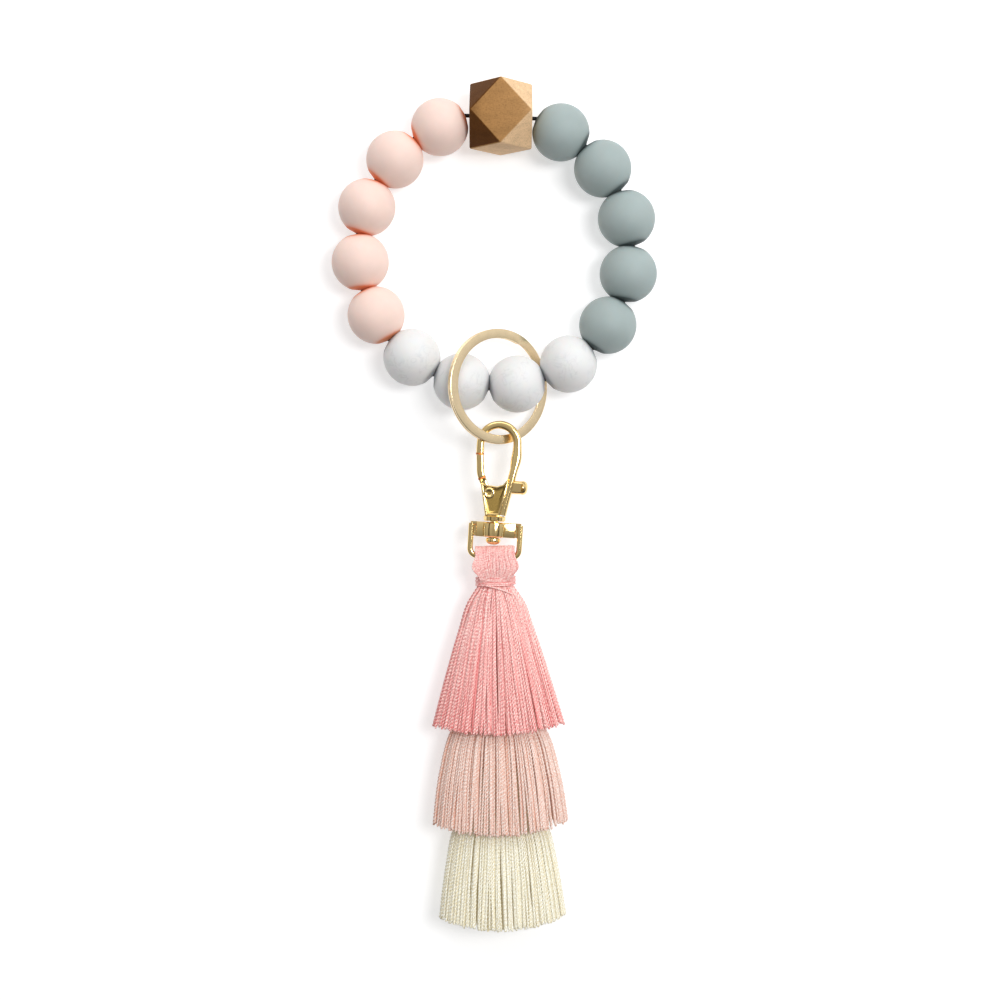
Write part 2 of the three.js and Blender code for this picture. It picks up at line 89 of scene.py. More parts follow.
# Soft boxes: the place, the size, the power in watts, and the point that it is aimed at.
SOFT_BOXES = {
    "key": ((0.08, 0.67, 0.63), (0.9, 0.5), 2.4, (0, 0.02, 0)),
    "side": ((0.36, 0.12, 0.84), (0.25, 0.4), 5.0, (0, 0, 0)),
}
FLOOR_SIZE = 6
FLOOR_COLOR = (0.62, 0.62, 0.625, 1)
FLOOR_GLOW = 0.50  # the floor is a lit white sheet


def add_camera():
    data = bpy.data.cameras.new("camera")
    data.sensor_width = SENSOR_WIDTH
    data.lens = SENSOR_WIDTH * CAMERA_ABOVE_CORD / VIEW_WIDTH
    data.clip_start = 0.01
    camera = bpy.data.objects.new("camera", data)
    camera.location = (*CAMERA_OFFSET, CORD_HEIGHT + CAMERA_ABOVE_CORD)
    bpy.context.scene.collection.objects.link(camera)
    bpy.context.scene.camera = camera


def add_soft_box(name, location, size, power, aim):
    data = bpy.data.lights.new(name, "AREA")
    data.shape = "RECTANGLE"
    data.size, data.size_y = size
    data.energy = power
    light = bpy.data.objects.new(name, data)
    light.location = location
    direction = Vector(aim) - Vector(location)
    light.rotation_euler = direction.to_track_quat("-Z", "Y").to_euler()
    bpy.context.scene.collection.objects.link(light)


def add_light():
    """A studio with a dark band overhead for the metal to reflect, and soft boxes."""
    scene = bpy.context.scene
    scene.view_settings.view_transform = "Standard"
    world = bpy.data.worlds.new("studio")
    world.use_nodes = True
    nodes = Nodes(world.node_tree)
    background = nodes.tree.nodes["Background"]
    background.inputs["Strength"].default_value = WORLD_STRENGTH
    split = nodes.add("ShaderNodeSeparateXYZ")
    nodes.link(nodes.add("ShaderNodeTexCoord").outputs["Generated"], split.inputs["Vector"])
    brightness = None
    for axis, (low, high, stops) in STUDIO_WALLS.items():
        span = nodes.add("ShaderNodeMapRange")
        span.inputs["From Min"].default_value = low
        span.inputs["From Max"].default_value = high
        nodes.link(split.outputs[axis], span.inputs["Value"])
        wall = nodes.grey_ramp(span.outputs["Result"], *stops)
        brightness = wall if brightness is None else nodes.mix(1.0, brightness, wall, "MULTIPLY")
    nodes.link(brightness, background.inputs["Color"])
    scene.world = world
    for name, (location, size, power, aim) in SOFT_BOXES.items():
        add_soft_box(name, location, size, power, aim)


def add_floor():
    bpy.ops.mesh.primitive_plane_add(size=FLOOR_SIZE)
    floor = bpy.context.object
    floor.name = "floor"
    material = bpy.data.materials.new("floor")
    material.use_nodes = True
    shader = material.node_tree.nodes["Principled BSDF"]
    shader.inputs["Base Color"].default_value = FLOOR_COLOR
    shader.inputs["Roughness"].default_value = 0.9
    shader.inputs["Specular IOR Level"].default_value = 0.1
    shader.inputs["Emission Color"].default_value = (1, 1, 1, 1)
    shader.inputs["Emission Strength"].default_value = FLOOR_GLOW
    floor.data.materials.append(material)


# ---- materials ----
# The colours for where beads press together are painted shade; the pink one is orange-red, a painted glow of light
# through the silicone between beads.
PINK = (0.87, 0.665, 0.59)
PINK_CONTACT_SHADE = (0.82, 0.29, 0.15)
GREY = (0.34, 0.405, 0.40)
GREY_CONTACT_SHADE = (0.10, 0.13, 0.13)
MARBLE_WHITE = (0.75, 0.75, 0.745)
MARBLE_CLOUD = (0.735, 0.74, 0.74)
MARBLE_EDGE = (0.71, 0.715, 0.715)  # beside a vein
MARBLE_VEIN = (0.60, 0.605, 0.61)
MARBLE_CONTACT_SHADE = (0.42, 0.43, 0.44)
# Wood stain by facet, from side grain to end grain; the grain's lean to the left also makes the darker stops
# painted shade on the left-facing facets.
WOOD_SIDE = (0.78, 0.53, 0.31)
WOOD_TOP = (0.40, 0.212, 0.078)
WOOD_SLOPE = (0.38, 0.195, 0.068)
WOOD_END_GRAIN_SHADE = (0.115, 0.042, 0.008)
ELASTIC_DARK = (0.006, 0.006, 0.007)
ELASTIC_LIGHT = (0.03, 0.03, 0.032)
GOLD = (0.94, 0.69, 0.31)
RING_GOLD = (0.94, 0.75, 0.48)
RECESS_SHADE_GOLD = (0.34, 0.225, 0.065)  # painted shade of the recess in the cheeks
GAP_SHADE_GOLD = (0.60, 0.19, 0.05)  # painted shade and reflection in the gap at the hook's tip and at the step on the gate
STEEL_DARK = (0.42, 0.41, 0.40)
STEEL_LIGHT = (0.62, 0.61, 0.60)
# Each thread's light colour and deep colour; the deep colour is also painted shade in the grooves and between
# threads, and the colour of the threads' painted glow.
ROSE = (1.0, 0.71, 0.66)
ROSE_DEEP_AND_SHADE = (0.64, 0.08, 0.08)
BLUSH = (0.76, 0.685, 0.645)
BLUSH_DEEP_AND_SHADE = (0.72, 0.30, 0.17)
CREAM = (0.84, 0.86, 0.78)
CREAM_DEEP_AND_SHADE = (0.68, 0.56, 0.30)
SKIN_GRAIN = 0.16  # of moulded silicone, in millimetres across
SKIN_DEPTH = 0.006
# The Mix node's colour sockets.
MIX_FIRST = 6
MIX_SECOND = 7
MIX_RESULT = 2


class Nodes:
    """A node tree, with short calls for the nodes that the studio and the materials share."""

    def __init__(self, tree):
        self.tree = tree

    def add(self, kind):
        return self.tree.nodes.new(kind)

    def link(self, source, target):
        self.tree.links.new(source, target)

    def noise(self, size, detail, stretch=(1, 1, 1), distortion=0.0):
        """Noise on the piece's own place, with features about size millimetres across, times stretch."""
        mapping = self.add("ShaderNodeMapping")
        mapping.inputs["Scale"].default_value = [1 / value for value in stretch]
        self.link(self.add("ShaderNodeTexCoord").outputs["Object"], mapping.inputs["Vector"])
        node = self.add("ShaderNodeTexNoise")
        node.inputs["Scale"].default_value = 1 / (size * MM)
        node.inputs["Detail"].default_value = detail
        node.inputs["Distortion"].default_value = distortion
        self.link(mapping.outputs["Vector"], node.inputs["Vector"])
        return node.outputs["Fac"]

    def ramp(self, value, *stops):
        """A ramp whose stops are (position, colour)."""
        node = self.add("ShaderNodeValToRGB")
        elements = node.color_ramp.elements
        while len(elements) < len(stops):
            elements.new(0.5)
        for element, (position, color) in zip(elements, stops):
            element.position = position
            element.color = (*color, 1)
        self.link(value, node.inputs["Fac"])
        return node.outputs["Color"]

    def grey_ramp(self, value, *stops):
        """A ramp whose stops are (position, brightness)."""
        return self.ramp(value, *[(position, (grey,) * 3) for position, grey in stops])

    def attribute(self, name):
        node = self.add("ShaderNodeAttribute")
        node.attribute_name = name
        return node.outputs["Fac"]

    def mix(self, factor, first, second, blend="MIX"):
        node = self.add("ShaderNodeMix")
        node.data_type = "RGBA"
        node.blend_type = blend
        sockets = (node.inputs["Factor"], node.inputs[MIX_FIRST], node.inputs[MIX_SECOND])
        for socket, value in zip(sockets, (factor, first, second)):
            if isinstance(value, bpy.types.NodeSocket):
                self.link(value, socket)
            elif isinstance(value, tuple):
                socket.default_value = (*value, 1)
            else:
                socket.default_value = value
        return node.outputs[MIX_RESULT]


class Look(Nodes):
    """A new material's nodes, which feed its one shader."""

    def __init__(self, name, roughness, metallic=0.0, **uniform):
        self.material = bpy.data.materials.new(name)
        self.material.use_nodes = True
        super().__init__(self.material.node_tree)
        self.shader = self.tree.nodes["Principled BSDF"]
        self.shader.inputs["Roughness"].default_value = roughness
        self.shader.inputs["Metallic"].default_value = metallic
        for socket, value in uniform.items():
            self.shader.inputs[socket.replace("_", " ")].default_value = value

    def color(self, value):
        self.link(value, self.shader.inputs["Base Color"])

    def roughness(self, value):
        self.link(value, self.shader.inputs["Roughness"])

    def bump(self, height, depth, strength=1.0):
        """Bump whose full height is depth millimetres."""
        node = self.add("ShaderNodeBump")
        node.inputs["Strength"].default_value = strength
        node.inputs["Distance"].default_value = depth * MM
        self.link(height, node.inputs["Height"])
        self.link(node.outputs["Normal"], self.shader.inputs["Normal"])


def scaled(color, factor):
    return tuple(min(1, channel * factor) for channel in color)


def blended(first, second, share):
    """A colour part of the way from the first to the second."""
    return tuple(a + (b - a) * share for a, b in zip(first, second))


def silicone(name, color, pressed):
    """Matt silicone: soft scatter, a fine moulded grain, and painted shade where beads press together."""
    look = Look(name, 0.62, Specular_IOR_Level=0.35, Subsurface_Weight=0.18, Subsurface_Scale=0.002)
    look.shader.inputs["Subsurface Radius"].default_value = (1.0, 0.45, 0.3)
    cloud = look.ramp(look.noise(6, 2), (0.35, scaled(color, 0.97)), (0.65, scaled(color, 1.02)))
    # painted shade where beads press together
    look.color(look.mix(look.attribute("contact_shade"), cloud, pressed))
    look.roughness(look.grey_ramp(look.noise(2.2, 3), (0.3, 0.56), (0.7, 0.68)))
    look.bump(look.noise(SKIN_GRAIN, 2), SKIN_DEPTH, 0.5)
    return look.material


def marbled_silicone(name):
    """White silicone with faint grey veins, which come and go in patches."""
    look = Look(name, 0.55, Specular_IOR_Level=0.4, Subsurface_Weight=0.12, Subsurface_Scale=0.002)
    veins = look.ramp(
        look.noise(4.2, 5, distortion=1.6),
        (0.40, MARBLE_CLOUD),
        (0.475, MARBLE_EDGE),
        (0.50, MARBLE_VEIN),
        (0.525, MARBLE_EDGE),
        (0.62, MARBLE_WHITE),
    )
    patches = look.grey_ramp(look.noise(5.5, 2), (0.42, 0), (0.62, 0.62))
    cloudy = look.mix(patches, MARBLE_WHITE, veins)
    # painted shade where beads press together
    look.color(look.mix(look.attribute("contact_shade"), cloudy, MARBLE_CONTACT_SHADE))
    look.bump(look.noise(SKIN_GRAIN, 2), SKIN_DEPTH, 0.5)
    return look.material


def oiled_wood():
    """Close-grained wood: pores along the grain, and facets that are darker the more end grain they show, with
    painted shade on the facets that face left, away from the light on the right.
    """
    look = Look("wood", 0.65, Specular_IOR_Level=0.08)
    fibres = look.noise(0.2, 4, stretch=(4, 1, 1))
    linen = look.noise(0.2, 3, stretch=(1, 5, 1))
    pores = look.grey_ramp(look.mix(0.4, fibres, linen), (0.33, 0.66), (0.52, 1.04))
    rings = look.grey_ramp(look.noise(1.5, 3, stretch=(5, 1, 1)), (0.3, 0.88), (0.7, 1.06))
    end_grain_and_shade = look.attribute("end_grain_and_shade")
    stain_and_shade = look.ramp(end_grain_and_shade, (0.10, WOOD_SIDE), (0.50, WOOD_TOP), (0.68, WOOD_SLOPE), (0.77, WOOD_END_GRAIN_SHADE))
    look.color(look.mix(1.0, look.mix(1.0, stain_and_shade, pores, "MULTIPLY"), rings, "MULTIPLY"))
    look.roughness(look.grey_ramp(fibres, (0.3, 0.68), (0.7, 0.5)))
    look.bump(fibres, 0.05, 0.5)
    return look.material


def braided_elastic():
    look = Look("elastic_cord", 0.75, Specular_IOR_Level=0.3)
    braid = look.noise(0.3, 1)
    look.color(look.ramp(braid, (0.4, ELASTIC_DARK), (0.7, ELASTIC_LIGHT)))
    look.bump(braid, 0.06)
    return look.material


def plated_gold(name, color, roughness):
    """Light gold plating with faint polishing marks and slightly worn patches."""
    look = Look(name, roughness, 1.0)
    marks = look.noise(0.18, 3)
    look.color(look.ramp(look.noise(2.5, 3), (0.35, scaled(color, 0.96)), (0.65, scaled(color, 1.02))))
    look.roughness(look.grey_ramp(marks, (0.35, roughness - 0.03), (0.7, roughness + 0.03)))
    look.bump(marks, 0.003, 0.25)
    return look.material


def spring_steel():
    look = Look("spring_steel", 0.3, 1.0)
    drawn = look.noise(0.1, 3)
    look.color(look.ramp(drawn, (0.3, STEEL_DARK), (0.7, STEEL_LIGHT)))
    look.bump(drawn, 0.004)
    return look.material


def thread(name, light, deep, glow):
    """Mercerised cotton thread: painted shade in the twist's grooves, painted highlight on the crests and in
    specks, fine fibres, and its own tint on each thread.

    glow is the strength of a painted glow in the darker colour, which stands in for the light that comes through
    the thread from its neighbours.
    """
    look = Look(name, 0.42, Specular_IOR_Level=0.5, Sheen_Weight=0.2, Sheen_Roughness=0.4)
    fibres = look.noise(0.1, 2, stretch=(1, 2.5, 1))
    sheen = look.noise(0.32, 2, stretch=(1, 0.75, 1))
    # painted highlight and shade: specks lighter and darker than the light colour, for glints and shade on the
    # twist
    body = look.ramp(sheen, (0.38, blended(light, deep, 0.6)), (0.5, light), (0.62, scaled(light, 1.25)))
    # tint carries each thread's own tint, and also painted shade in the twist's grooves and painted highlight on
    # its crests
    look.color(look.mix(look.attribute("tint"), body, deep))
    # painted glow: the thread emits its darker colour, in place of light passed on between threads
    look.shader.inputs["Emission Color"].default_value = (*deep, 1)
    look.shader.inputs["Emission Strength"].default_value = glow
    look.bump(fibres, 0.05, 0.6)
    return look.material


# ---- mesh building ----
def mesh_object(name, vertices, faces, materials, smooth_angle=math.radians(35), attributes=None):
    """An object of that mesh. Edges sharper than smooth_angle stay sharp, and attributes are per vertex."""
    mesh = bpy.data.meshes.new(name)
    mesh.from_pydata(np.asarray(vertices, float).tolist(), [], faces)
    for attribute, values in (attributes or {}).items():
        layer = mesh.attributes.new(attribute, "FLOAT", "POINT")
        layer.data.foreach_set("value", np.asarray(values, np.float32))
    for material in materials:
        mesh.materials.append(material)
    mesh.validate()
    mesh.update()
    mesh.shade_smooth()
    mesh.set_sharp_from_angle(angle=smooth_angle)
    made = bpy.data.objects.new(name, mesh)
    bpy.context.scene.collection.objects.link(made)
    return made


def place(piece, matrix, body, slot, *replaced):
    """Puts the piece, made in millimetres in that frame, on its body, and hides the CAD parts that it stands for.
    """
    piece.data.transform(matrix)
    piece.data.update()
    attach(piece, body)
    if replaced:
        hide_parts(*replaced)
    return piece


def joined(parts):
    """Vertices and faces of several (vertices, faces) put together."""
    vertices = []
    faces = []
    for part_vertices, part_faces in parts:
        start = len(vertices)
        vertices.extend(tuple(vertex) for vertex in part_vertices)
        faces.extend([start + index for index in face] for face in part_faces)
    return vertices, faces


def loft(rings, closed=False):
    """Quads between rings of equally many points. The ends are capped, or joined when closed."""
    count = len(rings[0])
    vertices = [tuple(point) for ring in rings for point in ring]
    faces = []
    last = len(rings) if closed else len(rings) - 1
    for i in range(last):
        a = i * count
        b = ((i + 1) % len(rings)) * count
        for j in range(count):
            k = (j + 1) % count
            faces.append([a + j, a + k, b + k, b + j])
    if not closed:
        faces.append(list(range(count))[::-1])
        faces.append([(len(rings) - 1) * count + j for j in range(count)])
    return vertices, faces


def lathe(profile, segments=48):
    """A profile of (along Y, radius) turned round Y. A profile that returns to its start closes on itself."""
    closed = profile[0] == profile[-1]
    points = profile[:-1] if closed else profile
    rings = []
    for y, radius in points:
        angles = [FULL_TURN * j / segments for j in range(segments)]
        rings.append([(radius * math.sin(angle), y, radius * math.cos(angle)) for angle in angles])
    return loft(rings, closed)


def rounded_section(half_width, half_height, corner, corner_steps=4):
    """A rectangle's outline with round corners, anticlockwise."""
    points = []
    for quarter, (sx, sy) in enumerate(((1, 1), (-1, 1), (-1, -1), (1, -1))):
        for i in range(corner_steps + 1):
            angle = math.pi / 2 * (quarter + i / corner_steps)
            x = sx * (half_width - corner) + corner * math.cos(angle)
            y = sy * (half_height - corner) + corner * math.sin(angle)
            points.append((x, y))
    return points


def sweep(path, section, scales=None):
    """The section, of (sideways, up), carried along the path, with its own pair of scales at each point."""
    points = [Vector(point) for point in path]
    rings = []
    for i, point in enumerate(points):
        before = points[max(i - 1, 0)]
        after = points[min(i + 1, len(points) - 1)]
        tangent = (after - before).normalized()
        side = UP.cross(tangent).normalized()
        up = tangent.cross(side)
        scale_side, scale_up = scales[i] if scales else (1, 1)
        rings.append([point + side * x * scale_side + up * y * scale_up for x, y in section])
    return loft(rings)


def inset(outline, distance):
    """The outline, anticlockwise, moved inwards by that distance, with its corners mitred."""
    count = len(outline)
    moved = []
    for i in range(count):
        point = Vector(outline[i])
        a = (point - Vector(outline[i - 1])).normalized()
        b = (Vector(outline[(i + 1) % count]) - point).normalized()
        normal_a = Vector((-a.y, a.x))
        normal_b = Vector((-b.y, b.x))
        bisector = normal_a + normal_b
        moved.append(tuple(point + bisector * (distance / max(0.3, 1 + normal_a.dot(normal_b)))))
    return moved


def stepped_plate(outline, steps):
    """A plate of the outline built up from steps of (inset, height), from its back to its front."""
    return loft([[(x, y, height) for x, y in inset(outline, distance)] for distance, height in steps])


def arc(centre, radius, start, end, steps):
    """Points of an arc, angles in degrees."""
    angles = [math.radians(start + (end - start) * i / steps) for i in range(steps + 1)]
    return [(centre[0] + radius * math.cos(angle), centre[1] + radius * math.sin(angle)) for angle in angles]


def curve_point(t, start, leave, end, arrive):
    """The point at share t of a curve from start to end, by how it leaves and arrives."""
    return (
        start * (2 * t**3 - 3 * t**2 + 1)
        + leave * (t**3 - 2 * t**2 + t)
        + end * (3 * t**2 - 2 * t**3)
        + arrive * (t**3 - t**2)
    )


def smooth_path(points, steps):
    """A smooth curve through the points, steps to each stretch."""
    line = [Vector(point) for point in points]
    curve = []
    for i in range(len(line) - 1):
        start = line[i]
        end = line[i + 1]
        leave = (end - line[max(i - 1, 0)]) / 2
        arrive = (line[min(i + 2, len(line) - 1)] - start) / 2
        curve.extend(curve_point(j / steps, start, leave, end, arrive) for j in range(steps))
    curve.append(line[-1])
    return curve


def smoothstep(value, low, high):
    share = np.clip((value - low) / (high - low), 0, 1)
    return share * share * (3 - 2 * share)


# ---- the bracelet ----
BEAD_COUNTS = {"grey": 5, "marble": 4, "pink": 5}
BEAD_RADIUS = 7.47
BEAD_PITCH = 14.75
BORE_RADIUS = 0.6
HALF_BEND = math.radians(11.8)  # between a bead's axis and the chord to its neighbour
PRESS_DEPTH = 0.08  # how far a bead presses into its neighbour's soft end
PRESS_SOFTNESS = 0.12  # of the edge round the pressed end
CONTACT_SHADE_REACH = 0.2  # how far the painted shade spreads from where beads press
CORD_RADIUS = 0.5
WOOD_PITCH = 18.5
WOOD_ACROSS = 17  # between two opposite square facets
WOOD_LENGTH = 16.2  # of the wooden bead along the cord
WOOD_TURN = math.radians(2)  # of the wooden bead on its cord, seen from above
WOOD_EDGE = 0.32  # sanded off each edge
# The grain leans left and up, so the facets facing left take the darkest stops: end grain, and painted shade for a
# light on the right.
GRAIN_AND_SHADE_LEAN = Vector((-0.80, 0.0, 0.60)).normalized()
WOOD_BORE = ((8.1, 1.8), (8.6, 2.25), (12, 4.5))  # (from the middle, radius) of the bore and its flared mouth


def bead_profile(steps=36):
    """Half a round bead, from its bore to its middle. The ends are pressed to cones by their neighbours."""
    points = []
    first = math.asin((BORE_RADIUS + 0.1) / BEAD_RADIUS)
    for i in range(steps + 1):
        polar = first + (math.pi / 2 - first) * (i / steps) ** 0.9
        reach = BEAD_PITCH / 2 + PRESS_DEPTH
        cone = reach / (math.cos(polar) + math.sin(polar) * math.tan(HALF_BEND))
        mix = min(max(0.5 + 0.5 * (cone - BEAD_RADIUS) / PRESS_SOFTNESS, 0), 1)
        distance = cone * (1 - mix) + BEAD_RADIUS * mix - PRESS_SOFTNESS * mix * (1 - mix) / 2
        points.append((distance * math.cos(polar), distance * math.sin(polar)))
    return points


def silicone_bead(name, material, slot):
    """A round bead with a lip at each mouth of its bore, and painted shade at each vertex by how near it is to
    where beads press together.
    """
    half = bead_profile()
    lip_y = half[0][0]
    lip = [(lip_y - 0.4, BORE_RADIUS), (lip_y - 0.12, BORE_RADIUS + 0.02), (lip_y - 0.03, BORE_RADIUS + 0.05)]
    front = lip + half
    profile = front + [(-y, radius) for y, radius in front[-2::-1]]
    vertices, faces = lathe([*profile, profile[0]], 64)
    # painted shade, strongest where beads press together and fading over its reach
    contact_shade = []
    for x, y, z in vertices:
        radius = math.hypot(x, z)
        edge = BEAD_PITCH / 2 - radius * math.tan(HALF_BEND) - abs(y)
        contact_shade.append(math.exp(-max(edge, 0) / CONTACT_SHADE_REACH))
    bead = mesh_object("silicone_" + name, vertices, faces, [material], attributes={"contact_shade": contact_shade})
    axis = joint_axis("spin_" + name)
    matrix = axes_matrix(joint_place("spin_" + name), axis.cross(UP), axis)
    place(bead, matrix, BODIES["bead_" + name], slot, "bead_" + name)


def rounded_bead_of_wood(material):
    """A cube with its corners cut off to the middles of its edges, its edges sanded round, bored along X."""
    half = WOOD_ACROSS / 2
    made = bmesh.new()
    for a in (-half, half):
        for b in (-half, half):
            for corner in ((a, b, 0), (a, 0, b), (0, a, b)):
                made.verts.new(corner)
    hull = bmesh.ops.convex_hull(made, input=made.verts)
    bmesh.ops.delete(made, geom=hull["geom_interior"], context="VERTS")
    bmesh.ops.dissolve_limit(made, angle_limit=0.01, verts=made.verts, edges=made.edges)
    edges = [*made.edges, *made.verts]
    bmesh.ops.bevel(made, geom=edges, offset=WOOD_EDGE, segments=4, profile=0.5, affect="EDGES")
    bmesh.ops.recalc_face_normals(made, faces=made.faces)
    mesh = bpy.data.meshes.new("wooden_bead")
    made.to_mesh(mesh)
    made.free()
    bead = bpy.data.objects.new("wooden_bead", mesh)
    bpy.context.scene.collection.objects.link(bead)
    vertices, faces = lathe([*[(-along, radius) for along, radius in WOOD_BORE[::-1]], *WOOD_BORE], 32)
    turned = [(y, x, z) for x, y, z in vertices]
    cutter = mesh_object("bore_cutter", turned, [face[::-1] for face in faces], [])
    boolean = bead.modifiers.new("bore", "BOOLEAN")
    boolean.object = cutter
    boolean.solver = "EXACT"
    apply_modifiers(bead)
    bpy.data.objects.remove(cutter)
    mesh = bead.data
    mesh.materials.append(material)
    layer = mesh.attributes.new("end_grain_and_shade", "FLOAT", "POINT")
    mesh.shade_smooth()
    mesh.set_sharp_from_angle(angle=math.radians(30))
    # end grain, and painted shade on the facets that face left
    layer.data.foreach_set("value", [max(GRAIN_AND_SHADE_LEAN.dot(vertex.normal), 0) for vertex in mesh.vertices])
    mesh.transform(Matrix.Diagonal((WOOD_LENGTH / WOOD_ACROSS, 1, 1, 1)))
    return bead


def apply_modifiers(made):
    """Replaces the object's mesh with what its modifiers make of it."""
    bpy.context.view_layer.update()
    evaluated = made.evaluated_get(bpy.context.evaluated_depsgraph_get())
    final = bpy.data.meshes.new_from_object(evaluated)
    made.modifiers.clear()
    old = made.data
    made.data = final
    bpy.data.meshes.remove(old)


def cord_length(name, length, centre, along, material):
    """One length of the cord. Its round ends meet the next lengths' ends at the joints between them."""
    rounding = 6
    tip = 0.01
    angles = [math.pi / 2 * (i / rounding) for i in range(rounding + 1)]
    dome = [(CORD_RADIUS * math.cos(angle), max(CORD_RADIUS * math.sin(angle), tip)) for angle in angles]
    profile = [(-length / 2 - along, radius) for along, radius in dome]
    dome = [(CORD_RADIUS * math.sin(angle), max(CORD_RADIUS * math.cos(angle), tip)) for angle in angles]
    profile += [(length / 2 + along, radius) for along, radius in dome]
    vertices, faces = lathe(profile, 16)
    piece = mesh_object("elastic_" + name, vertices, faces, [material])
    place(piece, axes_matrix(centre, along.cross(UP), along), BODIES["cord_" + name], "elastic_cord",
          "cord_" + name)


def build_bracelet(looks):
    for family, count in BEAD_COUNTS.items():
        for i in range(1, count + 1):
            name = f"{family}_{i}"
            spin = "spin_" + name
            silicone_bead(name, looks[family], family + "_silicone")
            cord_length(name, BEAD_PITCH, joint_place(spin), joint_axis(spin), looks["elastic"])
    right = joint_place("bracelet_squeeze")
    left = joint_place("flex_pink_1")
    along = (right - left).normalized()
    cord_length("wood", WOOD_PITCH, (left + right) / 2, along, looks["elastic"])
    bead = rounded_bead_of_wood(looks["wood"])
    low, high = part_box("bead_wood")
    centre = (low + high) / 2
    facing = Matrix.Rotation(WOOD_TURN, 3, "Z") @ along
    matrix = axes_matrix(centre, facing, UP.cross(facing))
    place(bead, matrix, BODIES["bead_wood"], "wood", "bead_wood")


# ---- the split ring ----
RING_RADIUS = 15
BAND_WIDTH = 2.4
COIL_THICKNESS = 0.66
COIL_GAP = 0.1
STRIP_START = -88  # degrees round the ring
STRIP_TURN = 570  # degrees from one end of the strip to the other
STEP_START = 205  # degrees from the strip's start to its step, at one o'clock
STEP_END = 250
END_ROUNDING = 0.7  # how far from its ends the strip starts to narrow
END_NARROWING = 0.25


def ring_point(share):
    """The strip's middle at that share of its length: front coil, a step at one o'clock, back coil."""
    turned = STRIP_TURN * share
    angle = math.radians(STRIP_START - turned)
    stepped = float(smoothstep(turned, STEP_START, STEP_END))
    radius = RING_RADIUS - BAND_WIDTH / 2
    layer = (COIL_THICKNESS + COIL_GAP) * (0.5 - stepped)
    return Vector((radius * math.cos(angle), radius * math.sin(angle), layer))


def build_split_ring(looks):
    steps = 420
    nearby = 1e-4
    section = rounded_section(BAND_WIDTH / 2, COIL_THICKNESS / 2, 0.2)
    rings = []
    for i in range(steps + 1):
        share = i / steps
        centre = ring_point(share)
        tangent = (ring_point(min(share + nearby, 1)) - ring_point(max(share - nearby, 0))).normalized()
        outwards = Vector((centre.x, centre.y, 0)).normalized()
        up = outwards.cross(tangent).normalized()
        up = up if up.z > 0 else -up
        from_end = min(i, steps - i) / steps * math.radians(STRIP_TURN) * RING_RADIUS
        rounding = math.sqrt(1 - (1 - min(from_end / END_ROUNDING, 1)) ** 2)
        width = rounding * END_NARROWING + 1 - END_NARROWING
        rings.append([centre + outwards * x * width + up * z for x, z in section])
    vertices, faces = loft(rings)
    ring = mesh_object("key_ring", vertices, faces, [looks["ring"]])
    turn_faces_out(ring)
    across = joint_axis("clasp_swing")
    centre = joint_place("clasp_swing") + Vector((0, (RING_RADIUS - BAND_WIDTH / 2) * MM, 0))
    place(ring, axes_matrix(centre, across, Vector((0, 1, 0))), BODIES["split_ring"], "gold", "split_ring")


def turn_faces_out(made):
    work = bmesh.new()
    work.from_mesh(made.data)
    bmesh.ops.recalc_face_normals(work, faces=work.faces)
    work.to_mesh(made.data)
    work.free()


# ---- the clasp ----
# Its frame has the ring's band near the origin, the tassel's bar down Y, and Z up from the table.
POST_BELOW = 24
HOOK_CENTRE_Y = -1.5
HOOK_MIDDLE_RADIUS = 4.8
HOOK_TIP_Y = -4.6
BODY_TOP_Y = -12
COLLAR_TOP_Y = -20.4
COLLAR_BOTTOM_Y = -21.8
CROSSBAR_TOP_Y = -22.1
CROSSBAR_BOTTOM_Y = -26
RIVET_X = -1.75
RIVET_Y = -14.6
BODY_HALF = 1.8
CHEEK_INNER = 0.85  # from the clasp's middle plane to a cheek's inner face
TAB_Y = -12.75
TAB_FLAT = 1.15  # from the middle plane to the flat on the thumb tab
BAR_Y = -31
FRAME_SHIFT = 0.5  # of the frame to the right of the swivel post
FRAME_HALF = 7.1
FRAME_CORNER = 2.6  # radius outside the frame's lower corners
FRAME_WIRE_HALF = 0.72
CROSSBAR_HALF = 5.1
HOOK_SECTION = (1.0, 1.05, 0.7, 5)
TIP_SCALE = 1.0
BOW_SCALE = 1.06
SPINE_SWELL = 0.29
SPINE_THICKENING = 0.35


def clasp_matrix():
    y_axis = joint_axis("swivel")
    z_axis = -joint_axis("gate_press")
    origin = joint_place("swivel") + y_axis * POST_BELOW * MM
    return axes_matrix(origin, y_axis.cross(z_axis), y_axis)


def add_piece(name, parts, material, matrix, body, slot, *replaced):
    """One piece from several (vertices, faces), on its body."""
    vertices, faces = joined(parts)
    made = mesh_object(name, vertices, faces, [material])
    turn_faces_out(made)
    return place(made, matrix, body, slot, *replaced)


def hook_scales(point):
    """How wide and how thick the hook's wire is at that point. The spine is the stoutest."""
    if point.x <= 0:
        return TIP_SCALE, 1
    share = float(smoothstep(point.y, -1, -12))
    return BOW_SCALE + SPINE_SWELL * math.sin(math.pi * min(share * 1.4, 1)), 1 + SPINE_THICKENING * share


